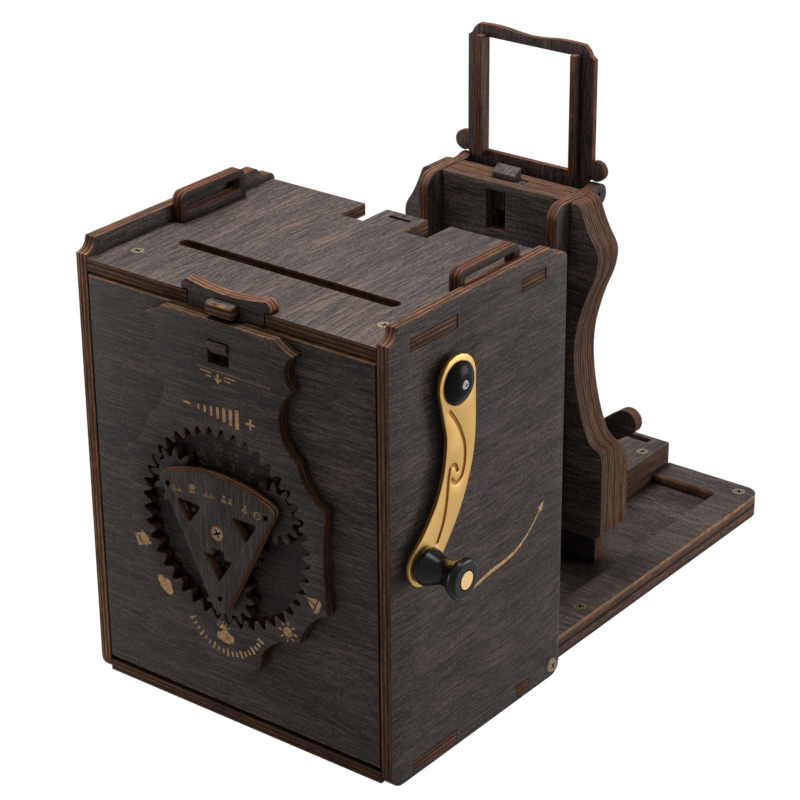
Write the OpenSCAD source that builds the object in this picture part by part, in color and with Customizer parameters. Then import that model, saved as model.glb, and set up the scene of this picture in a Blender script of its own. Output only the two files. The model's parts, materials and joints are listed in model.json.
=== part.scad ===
// Folding plywood pinhole camera: film box, geared exposure dial, film crank, bed and sliding lens standard.
// Millimetres. +Y is the way the camera looks, the back door faces -Y, the crank is on the +X side.

/* [Box] */
// Sheet thickness of the plywood
ply = 3; // [2.8:0.1:3.2]
// Width over the side plates
box_w = 88; // [86:1:96]
// Depth of the side plates
box_depth = 65; // [64:1:70]
// Height of the side plates
box_h = 111; // [109:1:117]
// Distance of the film slot's ends from the outer faces of the side plates
slot_margin = 12.8; // [11.5:0.1:14.5]

/* [Door and dial] */
// Height of the dial's centre above the ground
dial_z = 53.2; // [51:0.2:56]
// Module of the dial gears
dial_module = 1.1; // [1:0.02:1.14]
// Gap between the dial's carrier and the door's face layer
dial_gap = 0.2; // [0.2:0.05:0.5]

/* [Film drive] */
// Distance of the film plane from the box's rear edge
film_y = 20.5; // [19:0.5:22]
// Module of the roller gears
drive_module = 0.8; // [0.76:0.01:0.84]
// Reach of the crank from its axis to its knob
crank_reach = 40.3; // [34:0.1:46]
// Length of the crank's knob
knob_len = 11.1; // [8:0.1:13]

/* [Bed and standard] */
// Length of the bed
bed_len = 106.5; // [104:0.5:125]
// Height of the rail above the bed's base layer
rail_h = 9; // [7:0.5:10]
// Width of the rail
rail_w = 23.6; // [20:0.2:25]
// Distance of the standard from the front edge of the box
standard_out = 35.6; // [24:0.2:38]

/* [Finder] */
// Width of the finder frame
finder_w = 36.8; // [36:0.2:42]
// Height of the finder frame above its pivots
finder_h = 36.8; // [30:0.1:44]
// Thickness of the finder's sheets
finder_ply = 1.6; // [1.4:0.1:3]

/* [Hidden] */
$fn = 48;
eps = 0.01;
// Glued or pressed seats, running bores, sliding faces
fit = 0.05;
run = 0.06;
glide = 0.3;

// Box planes: y counts from the rear edge of the side plates, z from the ground
in_x = box_w / 2 - ply;
top_z = box_h - 4;
top_under = top_z - ply;
top_depth = box_depth - 0.9;
floor_z = 1;
floor_top = floor_z + ply;
floor_depth = box_depth - 7.5;
cove_r = 3.2;
slot_len = box_w - 2 * slot_margin;
top_mortises = [[7.6, 23.7], [box_depth - 17.2, box_depth - 8.6]];
floor_mortises = [[7.8, 24.1], [box_depth - 17.3, box_depth - 12.5]];
mortise_slack = 0.4;
lug_y = [box_depth - 36.2, box_depth - 14];
lug_top = top_z + 7.2;
screw_head_r = 1.55;
bed_head_r = 1.65;
screw_r = 1.1;
top_screw = [in_x - 6, 10.4];

// Door
door_x = in_x - 0.4;
door_top = top_under - 0.7;
hinge_y = ply / 2;
hinge_z = floor_top + ply / 2 + glide;
hinge_pin_r = 0.9;
tab_x = 10.8;
tab_seat = 4;
window_x = 3;
window_top = door_top - 4.7;
window_bottom = window_top - 5.6;
backing_z = [dial_z - 23, window_bottom - 15];
slider_drop = 2.2;

// Dial
ring_teeth = 42;
planet_teeth = 12;
sun_teeth = 18;
dial_angle = 25;
dial_slack = 0.22;
orbit = dial_module * (ring_teeth - planet_teeth) / 2;
gear_front = -0.25;
gear_back = -ply + 0.25;
carrier_front = -ply - dial_gap;
carrier_t = 2.4;
carrier_back = carrier_front - carrier_t;
dial_screw_r = 1.5;
dial_head_r = 1.85;
planet_pin_r = 1;
planet_dirs = [270, 30, 150];
kd = dial_module / 1.1;

// Film drive
pinion_teeth = 12;
roller_teeth = 10;
drive_angle = 20;
roller_pitch = drive_module * roller_teeth / 2;
roller_r = roller_pitch - 0.1;
crank_z = top_z - 13.8;
mesh_d = drive_module * (pinion_teeth + roller_teeth) / 2;
roller_z = crank_z - sqrt(mesh_d * mesh_d - roller_pitch * roller_pitch);
drive_y = film_y + roller_pitch;
pinch_y = film_y - roller_pitch;
axle_r = 1.5;
shaft_r = 2;
bush_r = 4;
cheek_x = slot_len / 2 - 0.7;
gear_x = cheek_x + ply + 0.9;
gear_w = 3;
gate_y = film_y + 2;
gate_top = crank_z - 13.7;
gate_rim = 3.5;
gate_sill = 16;
light_z = (floor_top + gate_sill + gate_top - gate_rim) / 2;
light_h = (gate_top - gate_rim - floor_top - gate_sill) / 2;
light_w = slot_len / 2 - 8.2;

// Crank
kc = crank_reach / 40.3;
arm_x = box_w / 2 + 1.8;
arm_t = 1;
knob_pin_r = 1.5;
knob_y = film_y - 12.3 * kc;
knob_z = crank_z - 38.4 * kc;

// Bed
pivot_y = box_depth - 3;
pivot_r = 1.4;
bed_y = pivot_y - ply;
bed_end = bed_y + bed_len;
bed_mid = bed_y + bed_len / 2;
bed_x = in_x - 0.4;
recess_x = bed_x - 9.1;
recess_y = [bed_y + 9, bed_end - 8];
rail_x = rail_w / 2;
rail_top = ply + rail_h;
bed_screws = [[bed_x - 4.6, bed_end - 3.7], [bed_x - 4, bed_y + 26.1]];
rail_screw = [8.6, bed_end - 9];

// Standard, five layers from the back: back, core, middle, front, lens board
std_y = box_depth + standard_out;
std_top = top_under - 0.4;
std_bottom = rail_top + 3.8;
flange_x = 17.5;
arm_bottom = std_top - 12.8;
eye_z = std_top - 2.2;
eye_r = 2.8;
eye_y = std_y + 4 * ply + glide + finder_ply / 2;
lever_y = std_y + 5 * ply + glide;
lever_pivot = [14, light_z - 8];
lever_r = 1.5;
finder_pin_r = 0.5;
slide_x = 4.5;
slide_lift = 8;
// The slide's tab and window lie a little to the left
slide_mid = -1.1;

// Colours for the preview
stain = [0.2, 0.16, 0.14];
stain_dark = [0.14, 0.11, 0.1];
stain_warm = [0.32, 0.22, 0.16];
gold = [0.83, 0.62, 0.22];
brass = [0.72, 0.58, 0.3];
black = [0.06, 0.06, 0.07];
zinc = [0.6, 0.58, 0.52];
cloth = [0.1, 0.1, 0.11];
rubber = [0.15, 0.15, 0.15];

// Point lists
function unit(v) = v / norm(v);
function turn(a, b) = let (d = b - a) d > 180 ? d - 360 : d < -180 ? d + 360 : d;
function corner(a, b, c, r, n) =
    let (
        u = unit(a - b),
        v = unit(c - b),
        h = acos(u * v) / 2,
        m = b + unit(u + v) * r / sin(h),
        s = b + u * r / tan(h) - m,
        e = b + v * r / tan(h) - m,
        a0 = atan2(s[1], s[0]),
        da = turn(a0, atan2(e[1], e[0]))
    )
    [for (i = [0:n]) m + r * [cos(a0 + da * i / n), sin(a0 + da * i / n)]];
function flat2(p) = [p[0], p[1]];
// Polygon whose corners are [x, y, radius]
function rounded(p, n = 5) =
    [for (i = [0:len(p) - 1])
        let (a = p[(i + len(p) - 1) % len(p)], b = p[i], c = p[(i + 1) % len(p)])
        for (q = b[2] > 0 ? corner(flat2(a), flat2(b), flat2(c), b[2], n) : [flat2(b)]) q];
// Arc from a to c through b
function arc3(a, b, c, n = 6) =
    let (
        d = 2 * (a[0] * (b[1] - c[1]) + b[0] * (c[1] - a[1]) + c[0] * (a[1] - b[1])),
        x = ((a * a) * (b[1] - c[1]) + (b * b) * (c[1] - a[1]) + (c * c) * (a[1] - b[1])) / d,
        z = ((a * a) * (c[0] - b[0]) + (b * b) * (a[0] - c[0]) + (c * c) * (b[0] - a[0])) / d,
        m = [x, z],
        r = norm(a - m),
        a0 = atan2(a[1] - z, a[0] - x),
        a1 = atan2(b[1] - z, b[0] - x),
        da = turn(a0, a1) + turn(a1, atan2(c[1] - z, c[0] - x))
    )
    [for (i = [0:n]) m + r * [cos(a0 + da * i / n), sin(a0 + da * i / n)]];
function blend4(a, b, c, d, t) =
    0.5 * (2 * b + (c - a) * t + (2 * a - 5 * b + 4 * c - d) * t * t + (3 * b - a - 3 * c + d) * t * t * t);
function spline(p, n = 4) =
    concat(
        [for (i = [0:len(p) - 2]) for (k = [0:n - 1])
            blend4(p[max(i - 1, 0)], p[i], p[i + 1], p[min(i + 2, len(p) - 1)], k / n)],
        [p[len(p) - 1]]
    );
function mirrored(p) = [for (i = [len(p) - 1:-1:0]) [-p[i][0], p[i][1]]];
function way(p, i) = unit(p[min(i + 1, len(p) - 1)] - p[max(i - 1, 0)]);
// Band along the points p with half width w at every point, drawn as one closed outline
function band(p, w) =
    concat(
        [for (i = [0:len(p) - 1]) let (t = way(p, i)) p[i] - w[i] * [-t[1], t[0]]],
        [for (i = [len(p) - 1:-1:0]) let (t = way(p, i)) p[i] + w[i] * [-t[1], t[0]]]
    );
function cap(m, t, r, n = 10) =
    let (a = atan2(t[1], t[0]))
    [for (i = [1:n - 1]) m + r * [cos(a - 90 + 180 * i / n), sin(a - 90 + 180 * i / n)]];
// The same with round ends
function limb(p, w) =
    let (e = len(p) - 1)
    concat(
        [for (i = [0:e]) let (t = way(p, i)) p[i] - w[i] * [-t[1], t[0]]],
        cap(p[e], way(p, e), w[e]),
        [for (i = [e:-1:0]) let (t = way(p, i)) p[i] + w[i] * [-t[1], t[0]]],
        cap(p[0], -way(p, 0), w[0])
    );
function same(p, w) = [for (q = p) w];

// Gear outline: one tooth points along +X; a negative slack widens the teeth, for a ring's spaces
function inv(q) = q * 180 / PI;
function roll(rb, r) = r <= rb ? 0 : let (t = sqrt(r * r / (rb * rb) - 1)) inv(t) - atan(t);
function gear(n, m, a, up, down, slack, steps = 2) =
    let (
        r = m * n / 2,
        rb = r * cos(a),
        ra = r + up,
        rf = r - down,
        lo = max(rf, rb),
        half = 90 / n - inv(slack / 2 / r) + roll(rb, r),
        rr = [for (i = [0:steps]) lo + (ra - lo) * i / steps],
        rise = concat(rf < lo ? [[rf, half - roll(rb, lo)]] : [], [for (q = rr) [q, half - roll(rb, q)]])
    )
    [for (k = [0:n - 1])
        for (q = concat(
            [for (p = rise) [p[0], -p[1]]],
            [for (i = [len(rise) - 1:-1:0]) rise[i]]))
        q[0] * [cos(q[1] + 360 * k / n), sin(q[1] + 360 * k / n)]];
function dial_gear(n) = gear(n, dial_module, dial_angle, 0.85 * dial_module, 1.15 * dial_module, dial_slack);
function drive_gear(n) = gear(n, drive_module, drive_angle, 0.85 * drive_module, 1.15 * drive_module, 0.2);
function planet_at(i) = orbit * [cos(planet_dirs[i]), sin(planet_dirs[i])];

// Placing: the origin is on the ground under the middle of the bed
module at() translate([0, -bed_mid, 0]) children();
// Plates: profile (y, z) along X, profile (x, z) along Y, profile (x, y) along Z
module side(x0, x1) translate([x0, 0, 0]) rotate([90, 0, 90]) linear_extrude(x1 - x0) children();
module face(y0, y1) translate([0, y1, 0]) rotate([90, 0, 0]) linear_extrude(y1 - y0) children();
module flat(z0, z1) translate([0, 0, z0]) linear_extrude(z1 - z0) children();
module both() {
    children();
    mirror([1, 0, 0]) children();
}
module box2(x0, y0, x1, y1) translate([x0, y0]) square([x1 - x0, y1 - y0]);
module soft2(x0, y0, x1, y1, r) polygon(rounded([[x0, y0, r], [x1, y0, r], [x1, y1, r], [x0, y1, r]]));
// Rods along X and along Y
module rod_x(x0, x1, y, z, r) translate([x0, y, z]) rotate([0, 90, 0]) cylinder(h = x1 - x0, r = r);
module rod_y(y0, y1, x, z, r) translate([x, y1, z]) rotate([90, 0, 0]) cylinder(h = y1 - y0, r = r);

// Countersunk cross-head screw, head face at z = 0, shank downwards
module flat_screw(head, shank, length) {
    difference() {
        union() {
            translate([0, 0, shank - head]) cylinder(h = head - shank, r1 = shank, r2 = head);
            translate([0, 0, -length]) cylinder(h = length + shank - head + eps, r = shank);
        }
        cross(head);
    }
}
module cross(head) {
    for (a = [0, 90]) rotate(a) translate([-0.6 * head, -0.12 * head, -0.35 * head])
        cube([1.2 * head, 0.24 * head, head]);
}
module screw_hole(head, shank, length) {
    translate([0, 0, shank - head]) cylinder(h = head - shank + fit, r1 = shank + fit, r2 = head + 2 * fit);
    translate([0, 0, -length]) cylinder(h = length, r = shank + fit);
    cylinder(h = 1, r = head + 2 * fit);
}

// Film box
module side_outline() {
    difference() {
        polygon(rounded([
            [0, 0, 4], [box_depth, 0, 3], [box_depth, box_h - 2.5, 1.8], [box_depth - 4, box_h - 2.5, 1.6],
            [box_depth - 6.5, box_h, 0.9], [0, box_h, 0]
        ]));
        translate([0, box_h]) circle(r = cove_r);
        for (m = top_mortises) box2(m[0] - fit, top_under - fit, m[1] + mortise_slack, top_z + fit);
        for (m = floor_mortises) box2(m[0] - fit, floor_z - fit, m[1] + fit, floor_top + fit);
        translate([pivot_y, ply]) circle(r = pivot_r + fit);
    }
}
module hinge_bore() rod_x(-in_x - 2, in_x + 2, hinge_y, hinge_z, hinge_pin_r + run);
module left_side_plate() {
    color(stain) at() difference() {
        side(-box_w / 2, -in_x) side_outline();
        hinge_bore();
    }
}
module right_side_plate() {
    color(stain) at() difference() {
        side(in_x, box_w / 2) side_outline();
        hinge_bore();
        rod_x(in_x - 1, box_w / 2 + 1, film_y, crank_z, bush_r + fit);
    }
}
module tenons(list) {
    for (m = list) box2(-box_w / 2, m[0], box_w / 2, m[1]);
}
module top_plate() {
    color(stain) at() difference() {
        flat(top_under, top_z) difference() {
            union() {
                box2(-in_x + fit, 0, in_x - fit, top_depth);
                tenons(top_mortises);
            }
            // Film slot
            box2(-slot_len / 2 + 1.7, film_y - 1.7, slot_len / 2 - 1.7, film_y + 1.7);
            both() translate([slot_len / 2 - 1.7, film_y]) circle(r = 1.7);
            // Notch for the door's tab, front notches, slot of the closing tab
            box2(-tab_x - glide, -1, tab_x + glide, ply + 0.2);
            both() box2(6, box_depth - 10, 12.4, box_depth);
            box2(-3, box_depth - 4.65, 3, box_depth - 3.35);
            both() box2(in_x - ply - fit, lug_y[0] + 5.2 - fit, in_x, lug_y[1] - 5 + fit);
        }
        both() translate([top_screw[0], top_screw[1], top_z]) screw_hole(screw_head_r, screw_r, 6);
    }
}
module floor_plate() {
    color(stain_dark) at() flat(floor_z, floor_top) union() {
        box2(-in_x + fit, 0, in_x - fit, floor_depth);
        tenons(floor_mortises);
    }
}
module strap_lugs() {
    color(stain) at() both() side(in_x - ply, in_x - fit) difference() {
        union() {
            polygon(rounded([
                [lug_y[0], top_z, 0], [lug_y[1], top_z, 0], [lug_y[1], lug_top, 2], [lug_y[0], lug_top, 2]
            ]));
            box2(lug_y[0] + 5.2, top_under, lug_y[1] - 5, top_z + eps);
        }
        soft2(lug_y[0] + 2, top_z + 2.3, lug_y[1] - 2, lug_top - 1.9, 0.6);
    }
}
module film_gate() {
    color(stain_dark) at() face(gate_y, gate_y + ply) difference() {
        box2(-in_x + fit, floor_top, in_x - fit, gate_top);
        box2(-light_w, light_z - light_h, light_w, light_z + light_h);
    }
}
module bellows_rear_frame() {
    color(stain_dark) at() face(gate_y + ply, gate_y + 2 * ply) difference() {
        soft2(-light_w - 7, light_z - light_h - 6, light_w + 7, gate_top, 2);
        box2(-light_w, light_z - light_h, light_w, light_z + light_h);
    }
}
module film_guides() {
    color(stain_dark) at() both() face(gate_y - 10, gate_y) difference() {
        box2(cheek_x - 3, floor_top, cheek_x, gate_top);
        box2(cheek_x - 3.5, light_z - 8, cheek_x - 1.5, light_z + 8);
    }
}
module roller_cheeks() {
    color(stain_dark) at() difference() {
        both() side(cheek_x, cheek_x + ply) difference() {
            soft2(pinch_y - 6.5, gate_top + 0.1, drive_y + 7.5, top_under, 0.8);
            for (y = [pinch_y, drive_y]) translate([y, roller_z]) circle(r = axle_r + run);
        }
        rod_x(cheek_x - 1, cheek_x + ply + 1, film_y, crank_z, shaft_r + run);
    }
}
module nip_springs() {
    color(zinc) at() both() side(cheek_x + ply, cheek_x + ply + 0.5) union() {
        box2(pinch_y - axle_r - 1.3, roller_z - 3, pinch_y - axle_r - glide, top_under - 3);
        soft2(pinch_y - 5, top_under - 9, pinch_y - axle_r - glide, top_under - 3, 0.8);
    }
}
module top_cleats() {
    color(stain_dark) at() difference() {
        both() flat(top_under - 6, top_under) soft2(cheek_x + ply + 0.7, 5, in_x - fit, 15, 1);
        both() translate([top_screw[0], top_screw[1], top_z]) screw_hole(screw_head_r, screw_r, 8);
    }
}
module plate_screws() {
    color(brass) at() {
        both() translate([top_screw[0], top_screw[1], top_z]) rotate(20) flat_screw(screw_head_r, screw_r, 7.6);
        for (p = bed_screws) both() translate([p[0], p[1], 2 * ply]) rotate(35)
            flat_screw(bed_head_r, screw_r, 5.4);
        both() translate([rail_screw[0], rail_screw[1], rail_top]) rotate(10)
            flat_screw(bed_head_r, screw_r * 0.8, rail_top - 1);
    }
}

// Bed
module bed_plan() {
    polygon(rounded([[-bed_x, bed_y - 1, 0], [bed_x, bed_y - 1, 0], [bed_x, bed_end, 4], [-bed_x, bed_end, 4]]));
}
module bed_holes() {
    for (p = bed_screws) both() translate([p[0], p[1], 2 * ply]) screw_hole(bed_head_r, screw_r, 5.45);
    both() rod_x(bed_x - 9, bed_x + 1, pivot_y, ply, pivot_r + fit);
}
module bed_base() {
    color(stain) at() difference() {
        intersection() {
            side(-bed_x, bed_x) polygon(rounded([
                [bed_y, 0, 1.4], [bed_end, 0, 0], [bed_end, ply, 0], [bed_y, ply, 0]
            ]));
            flat(-1, ply + 1) bed_plan();
        }
        bed_holes();
        both() translate([rail_screw[0], rail_screw[1], rail_top])
            screw_hole(bed_head_r, screw_r * 0.8, rail_top - 0.95);
    }
}
module bed_top() {
    color(stain) at() difference() {
        intersection() {
            side(-bed_x, bed_x) polygon(rounded([
                [bed_y, ply, 0], [bed_end, ply, 0], [bed_end, 2 * ply, 0], [bed_y, 2 * ply, ply - 0.1]
            ]));
            flat(0, 3 * ply) bed_plan();
        }
        flat(0, 3 * ply) union() {
            soft2(-recess_x, recess_y[0], recess_x, recess_y[1], 1);
            box2(-rail_x - fit, recess_y[1] - 2, rail_x + fit, bed_end + 1);
        }
        bed_holes();
    }
}
module bed_rail() {
    color(stain) at() difference() {
        flat(ply, rail_top) difference() {
            soft2(-rail_x, recess_y[0], rail_x, bed_end, 0.8);
            box2(-6.6, bed_end - 3.7, 6.6, bed_end - 1.4);
        }
        both() translate([rail_screw[0], rail_screw[1], rail_top])
            screw_hole(bed_head_r, screw_r * 0.8, rail_top);
    }
}
module bed_pivot_screws() {
    color(brass) at() both() difference() {
        union() {
            rod_x(bed_x - 8.8, box_w / 2 + eps, pivot_y, ply, pivot_r);
            translate([box_w / 2, pivot_y, ply]) rotate([0, 90, 0]) cylinder(h = 0.5, r1 = 1.85, r2 = 1.5);
        }
        translate([box_w / 2 + 0.5, pivot_y, ply]) rotate([0, 90, 0]) rotate(30) cross(1.4);
    }
}

// Bellows, pleated tube from the rear frame to the front frame
bellows_y = [gate_y + 2 * ply, std_y - ply];
pleats = 13;
function fold_ring(i, off) =
    let (
        t = i / (2 * pleats),
        deep = (i % 2 == 0 ? 0 : -3.2) - off,
        w = (light_w + 3) * (1 - t) + 15 * t + deep,
        h = (light_h + 3) * (1 - t) + 20 * t + deep,
        c = min(2.5, w / 4),
        y = bellows_y[0] + (bellows_y[1] - bellows_y[0]) * t
    )
    [for (p = [[w, -h + c], [w, h - c], [w - c, h], [c - w, h], [-w, h - c], [-w, c - h], [c - w, -h], [w - c, -h]])
        [p[0], y, light_z + p[1]]];
fold_count = 2 * pleats + 1;
function skin(base, flip) =
    [for (i = [0:fold_count - 2]) for (k = [0:7])
        let (
            a = base + i * 8 + k,
            b = base + i * 8 + (k + 1) % 8,
            c = b + 8,
            d = a + 8
        )
        flip ? [a, b, c, d] : [d, c, b, a]];
module bellows() {
    outer = [for (i = [0:fold_count - 1]) for (p = fold_ring(i, 0)) p];
    inner = [for (i = [0:fold_count - 1]) for (p = fold_ring(i, 0.6)) p];
    n = fold_count * 8;
    rim = [for (k = [0:7]) let (m = (k + 1) % 8) [k, m, n + m, n + k]];
    lip = [for (k = [0:7]) let (m = (k + 1) % 8, o = n - 8) [o + m, o + k, n + o + k, n + o + m]];
    color(cloth) at() polyhedron(
        points = concat(outer, inner),
        faces = concat(skin(0, false), skin(n, true), rim, lip),
        convexity = 12
    );
}

// Back door
module door_panel() {
    color(stain) at() difference() {
        side(-door_x, door_x) union() {
            box2(0, hinge_z, ply, door_top);
            translate([hinge_y, hinge_z]) circle(r = ply / 2);
        }
        face(-1, ply + 1) union() {
            box2(-tab_x / 2 - fit, door_top - tab_seat, tab_x / 2 + fit, door_top + 1);
            box2(-1.6, window_bottom + 0.1, 1.6, window_top - 0.7);
        }
        rod_y(-1, ply + 1, 0, dial_z, dial_screw_r + fit);
        both() rod_x(door_x - 6, door_x + 1, hinge_y, hinge_z, hinge_pin_r + fit);
    }
}
// Scalloped edge of the face layer, right half: [x, share of the height from the neck to the top], then
// [x, height from the dial's centre]
face_w = 29;
neck_z = dial_z + 12.9 * kd;
face_top = door_top - 0.1;
face_tip = 20.6;
face_high = [
    [16, 1], [17.6, 0.965], [21, 0.928], [18.4, 0.804], [20.6, 0.706], [16.4, 0.468], [21.4, 0.262],
    [23.7, 0.11], [29, 0]
];
face_low = [[28, 1.3], [29, -12.2], [23, -17], [20.8, -22.2], [13.2, -24.8], [9.4, -28.9]];
face_foot = [[9.6, -30.4], [8.8, -32.4], [6.6, -34.8], [3.4, -36.4]];
face_rise = face_top - neck_z;
// The upper bites go less deep where the face is lower, so that no arc runs past its tips
face_bite = min(1, face_rise / 37.1);
face_marks = concat(
    [for (p = face_high) [(p[0] < face_tip ? face_tip - (face_tip - p[0]) * face_bite : p[0]) * face_w / 29,
        neck_z + p[1] * face_rise]],
    [for (p = face_low) [p[0] * face_w / 29, dial_z + p[1] * kd]]
);
function face_mark(i) = face_marks[i];
face_edge = concat(
    [for (k = [0:6]) let (a = arc3(face_mark(2 * k), face_mark(2 * k + 1), face_mark(2 * k + 2), 7))
        for (i = [0:6]) a[i]],
    [face_mark(14)],
    [for (p = face_foot) [p[0] * face_w / 29, dial_z + p[1] * kd]]
);
module door_face() {
    color(stain) at() face(-ply, 0) difference() {
        polygon(concat(face_edge, mirrored(face_edge)));
        translate([0, dial_z]) rotate(270)
            polygon(gear(ring_teeth, dial_module, dial_angle, 1.2 * dial_module, 0.75 * dial_module, -dial_slack));
        box2(-window_x, window_bottom, window_x, window_top);
    }
}
module door_tab() {
    rise = top_z + 0.2;
    half = concat(
        [[tab_x / 2, door_top - tab_seat], [tab_x / 2, door_top], [tab_x, door_top], [tab_x, rise]],
        [[tab_x + 1.8, rise]],
        arc3([tab_x + 2, rise + 0.6], [tab_x + 1.5, rise + 1.6], [tab_x + 0.4, rise + 2.4], 5),
        arc3([tab_x - 0.6, rise + 2.2], [tab_x / 2, rise + 1.5], [0, rise + 1.2], 6)
    );
    color(stain) at() face(0, ply) polygon(concat(half, mirrored(half)));
}
module door_grip() {
    color(stain) at() side(-3.7, 3.7) polygon(rounded([
        [-2.5, top_under, 0.6], [0, top_under, 0], [0, top_z, 0], [-2.5, top_z, 0.9]
    ]));
}
module door_pins() {
    color(zinc) at() both() rod_x(door_x - 5.8, in_x + 1.8, hinge_y, hinge_z, hinge_pin_r);
}
module door_backing() {
    color(stain_dark) at() difference() {
        face(ply, 2 * ply) soft2(-21, backing_z[0], 21, backing_z[1], 3);
        rod_y(0, 3 * ply, 0, dial_z, dial_screw_r + fit);
    }
}
module film_spring() {
    low = backing_z[0] + 2.8;
    high = backing_z[1] - 5;
    bow = arc3([2 * ply + 0.3, low], [film_y - 3, (low + high) / 2], [2 * ply + 0.3, high], 14);
    color(brass) at() both() side(9, 15) union() {
        polygon(band(bow, same(bow, 0.25)));
        box2(2 * ply, low - 1.6, 2 * ply + 0.5, low + 0.3);
        box2(2 * ply, high - 0.3, 2 * ply + 0.5, high + 1.6);
    }
}
module dial_screw() {
    color(brass) at() translate([0, carrier_back, dial_z]) rotate([90, 0, 0]) rotate(25)
        flat_screw(dial_head_r, dial_screw_r, 2 * ply - carrier_back);
}
module release_spring() {
    low = backing_z[1];
    high = window_bottom + 0.9;
    turns = 10;
    zig = [for (i = [0:turns]) [i % 2 == 0 ? -1.5 : 1.5, low + 0.3 + (high - low - 0.6) * i / turns]];
    color(zinc) at() face(ply + glide, ply + glide + 0.8) polygon(band(zig, same(zig, 0.26)));
}
module release_slider() {
    low = window_bottom + 2.3;
    high = window_top - 0.2;
    color(stain_dark) at() union() {
        side(-window_x + 0.2, window_x - 0.2) polygon([
            [-0.2, low], [-0.2, high], [-ply - 0.2, high], [-ply - 0.9, high - 0.8], [-ply + 0.6, low]
        ]);
        face(-0.2 - eps, ply + glide + eps) box2(-1.4, low + 0.3, 1.4, high - 0.7);
        face(ply + glide, ply + 2.1) box2(-4, window_bottom + 1, 4, high + 0.6);
    }
}

// Exposure dial
module dial_carrier() {
    top = arc3([-17, 10.4] * kd, [0, 14] * kd, [17, 10.4] * kd, 12);
    hull_pts = concat(
        [[-1.6, -20, 1.4], [1.6, -20, 1.4]] * kd,
        [[top[12][0], top[12][1], 1.6]],
        [for (i = [11:-1:1]) [top[i][0], top[i][1], 0]],
        [[top[0][0], top[0][1], 1.6]]
    );
    color(stain) at() difference() {
        translate([0, 0, dial_z]) face(carrier_back, carrier_front) difference() {
            polygon(rounded(hull_pts));
            both() polygon(rounded([[-11.8, 5.6, 0.5], [-8.3, 0.1, 0.5], [-4.3, 5.5, 0.5]] * kd));
            polygon(kd * [
                [1.8, -4], [1.8, -5.9], [4.3, -5.8], [0, -12.1], [-4.3, -5.8], [-1.8, -5.9], [-1.8, -4]
            ]);
        }
        rod_y(carrier_back - 1, carrier_front + 1, 0, dial_z, dial_screw_r + run);
        translate([0, carrier_back - eps, dial_z]) rotate([-90, 0, 0])
            cylinder(h = dial_head_r - dial_screw_r + 0.1, r1 = dial_head_r + 0.1 + eps,
                r2 = dial_screw_r + run);
        for (i = [0:2]) {
            rod_y(carrier_back + 1, carrier_front + 1, planet_at(i)[0], dial_z + planet_at(i)[1],
                planet_pin_r + 0.02);
            // Square peg hole over each pin
            translate([planet_at(i)[0], 0, dial_z + planet_at(i)[1]])
                face(carrier_back - 1, carrier_back + 1 + eps) box2(-0.6, -0.6, 0.6, 0.6);
        }
    }
}
module planet_pins() {
    color(zinc) at() for (i = [0:2]) rod_y(carrier_back + 1.05, gear_front - 0.05, planet_at(i)[0],
        dial_z + planet_at(i)[1], planet_pin_r);
}
module planet(i) {
    color(stain_warm) at() translate([planet_at(i)[0], 0, dial_z + planet_at(i)[1]]) face(gear_back, gear_front)
        difference() {
            rotate(planet_dirs[i]) polygon(dial_gear(planet_teeth));
            circle(r = planet_pin_r + run);
        }
}
module planet_gear_a() planet(0);
module planet_gear_b() planet(1);
module planet_gear_c() planet(2);
module sun_gear() {
    color(stain_warm) at() translate([0, 0, dial_z]) face(gear_back, gear_front) difference() {
        rotate(270 + 180 / sun_teeth) polygon(dial_gear(sun_teeth));
        circle(r = dial_screw_r + run);
    }
}

// Crank, turning about X
arm_line = spline([
    [0, 0], [0.8, -6.7], [1.3, -11.9], [0.7, -17.7], [-0.8, -22.9], [-3.7, -28.7], [-8.3, -34.5], [-12.3, -38.4]
]);
arm_wide = [for (w = spline([
    [6.4, 0], [5.6, 0], [5.1, 0], [5, 0], [4.8, 0], [4.7, 0], [4.8, 0], [5.1, 0]
])) w[0]];
module groove(points, w) {
    p = spline(points, 4) * kc;
    polygon(limb(p, same(p, w)));
}
module crank_arm() {
    color(gold) at() translate([0, film_y, crank_z]) difference() {
        side(arm_x, arm_x + arm_t) polygon(limb(arm_line * kc, arm_wide));
        side(arm_x + arm_t - 0.4, arm_x + arm_t + 1) union() {
            groove([
                [-2.8, -5.9], [0.2, -10.1], [2.3, -15.1], [2.5, -18.8], [1.7, -22], [0.3, -23.3], [-1.2, -23.2],
                [-2.1, -22.1]
            ], 0.5);
            groove([
                [-0.2, -20.6], [-0.8, -19.3], [-1.9, -18.8], [-2.9, -19.5], [-3.5, -22.4], [-4.1, -27],
                [-5.3, -31.3], [-7.4, -35.1]
            ], 0.5);
        }
        rod_x(arm_x - 1, arm_x + arm_t + 1, 0, 0, shaft_r + 0.02);
        rod_x(arm_x - 1, arm_x + arm_t + 1, -12.3 * kc, -38.4 * kc, knob_pin_r + 0.02);
    }
}
cap_x = arm_x + arm_t;
cap_r = 5;
cap_h = 2;
cap_screw_r = 1.1;
module crank_cap() {
    dome = arc3([cap_r, 0.5], [0.7 * cap_r, 0.78 * cap_h], [cap_screw_r + 0.2, cap_h], 7);
    seat = cap_h - 1;
    color(black) at() translate([cap_x, film_y, crank_z]) rotate([0, 90, 0]) rotate_extrude()
        polygon(concat(
            [[1, 0], [cap_r, 0]], dome, [[cap_screw_r + 0.1, cap_h], [cap_screw_r + 0.1, seat], [1, seat]]
        ));
}
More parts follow.
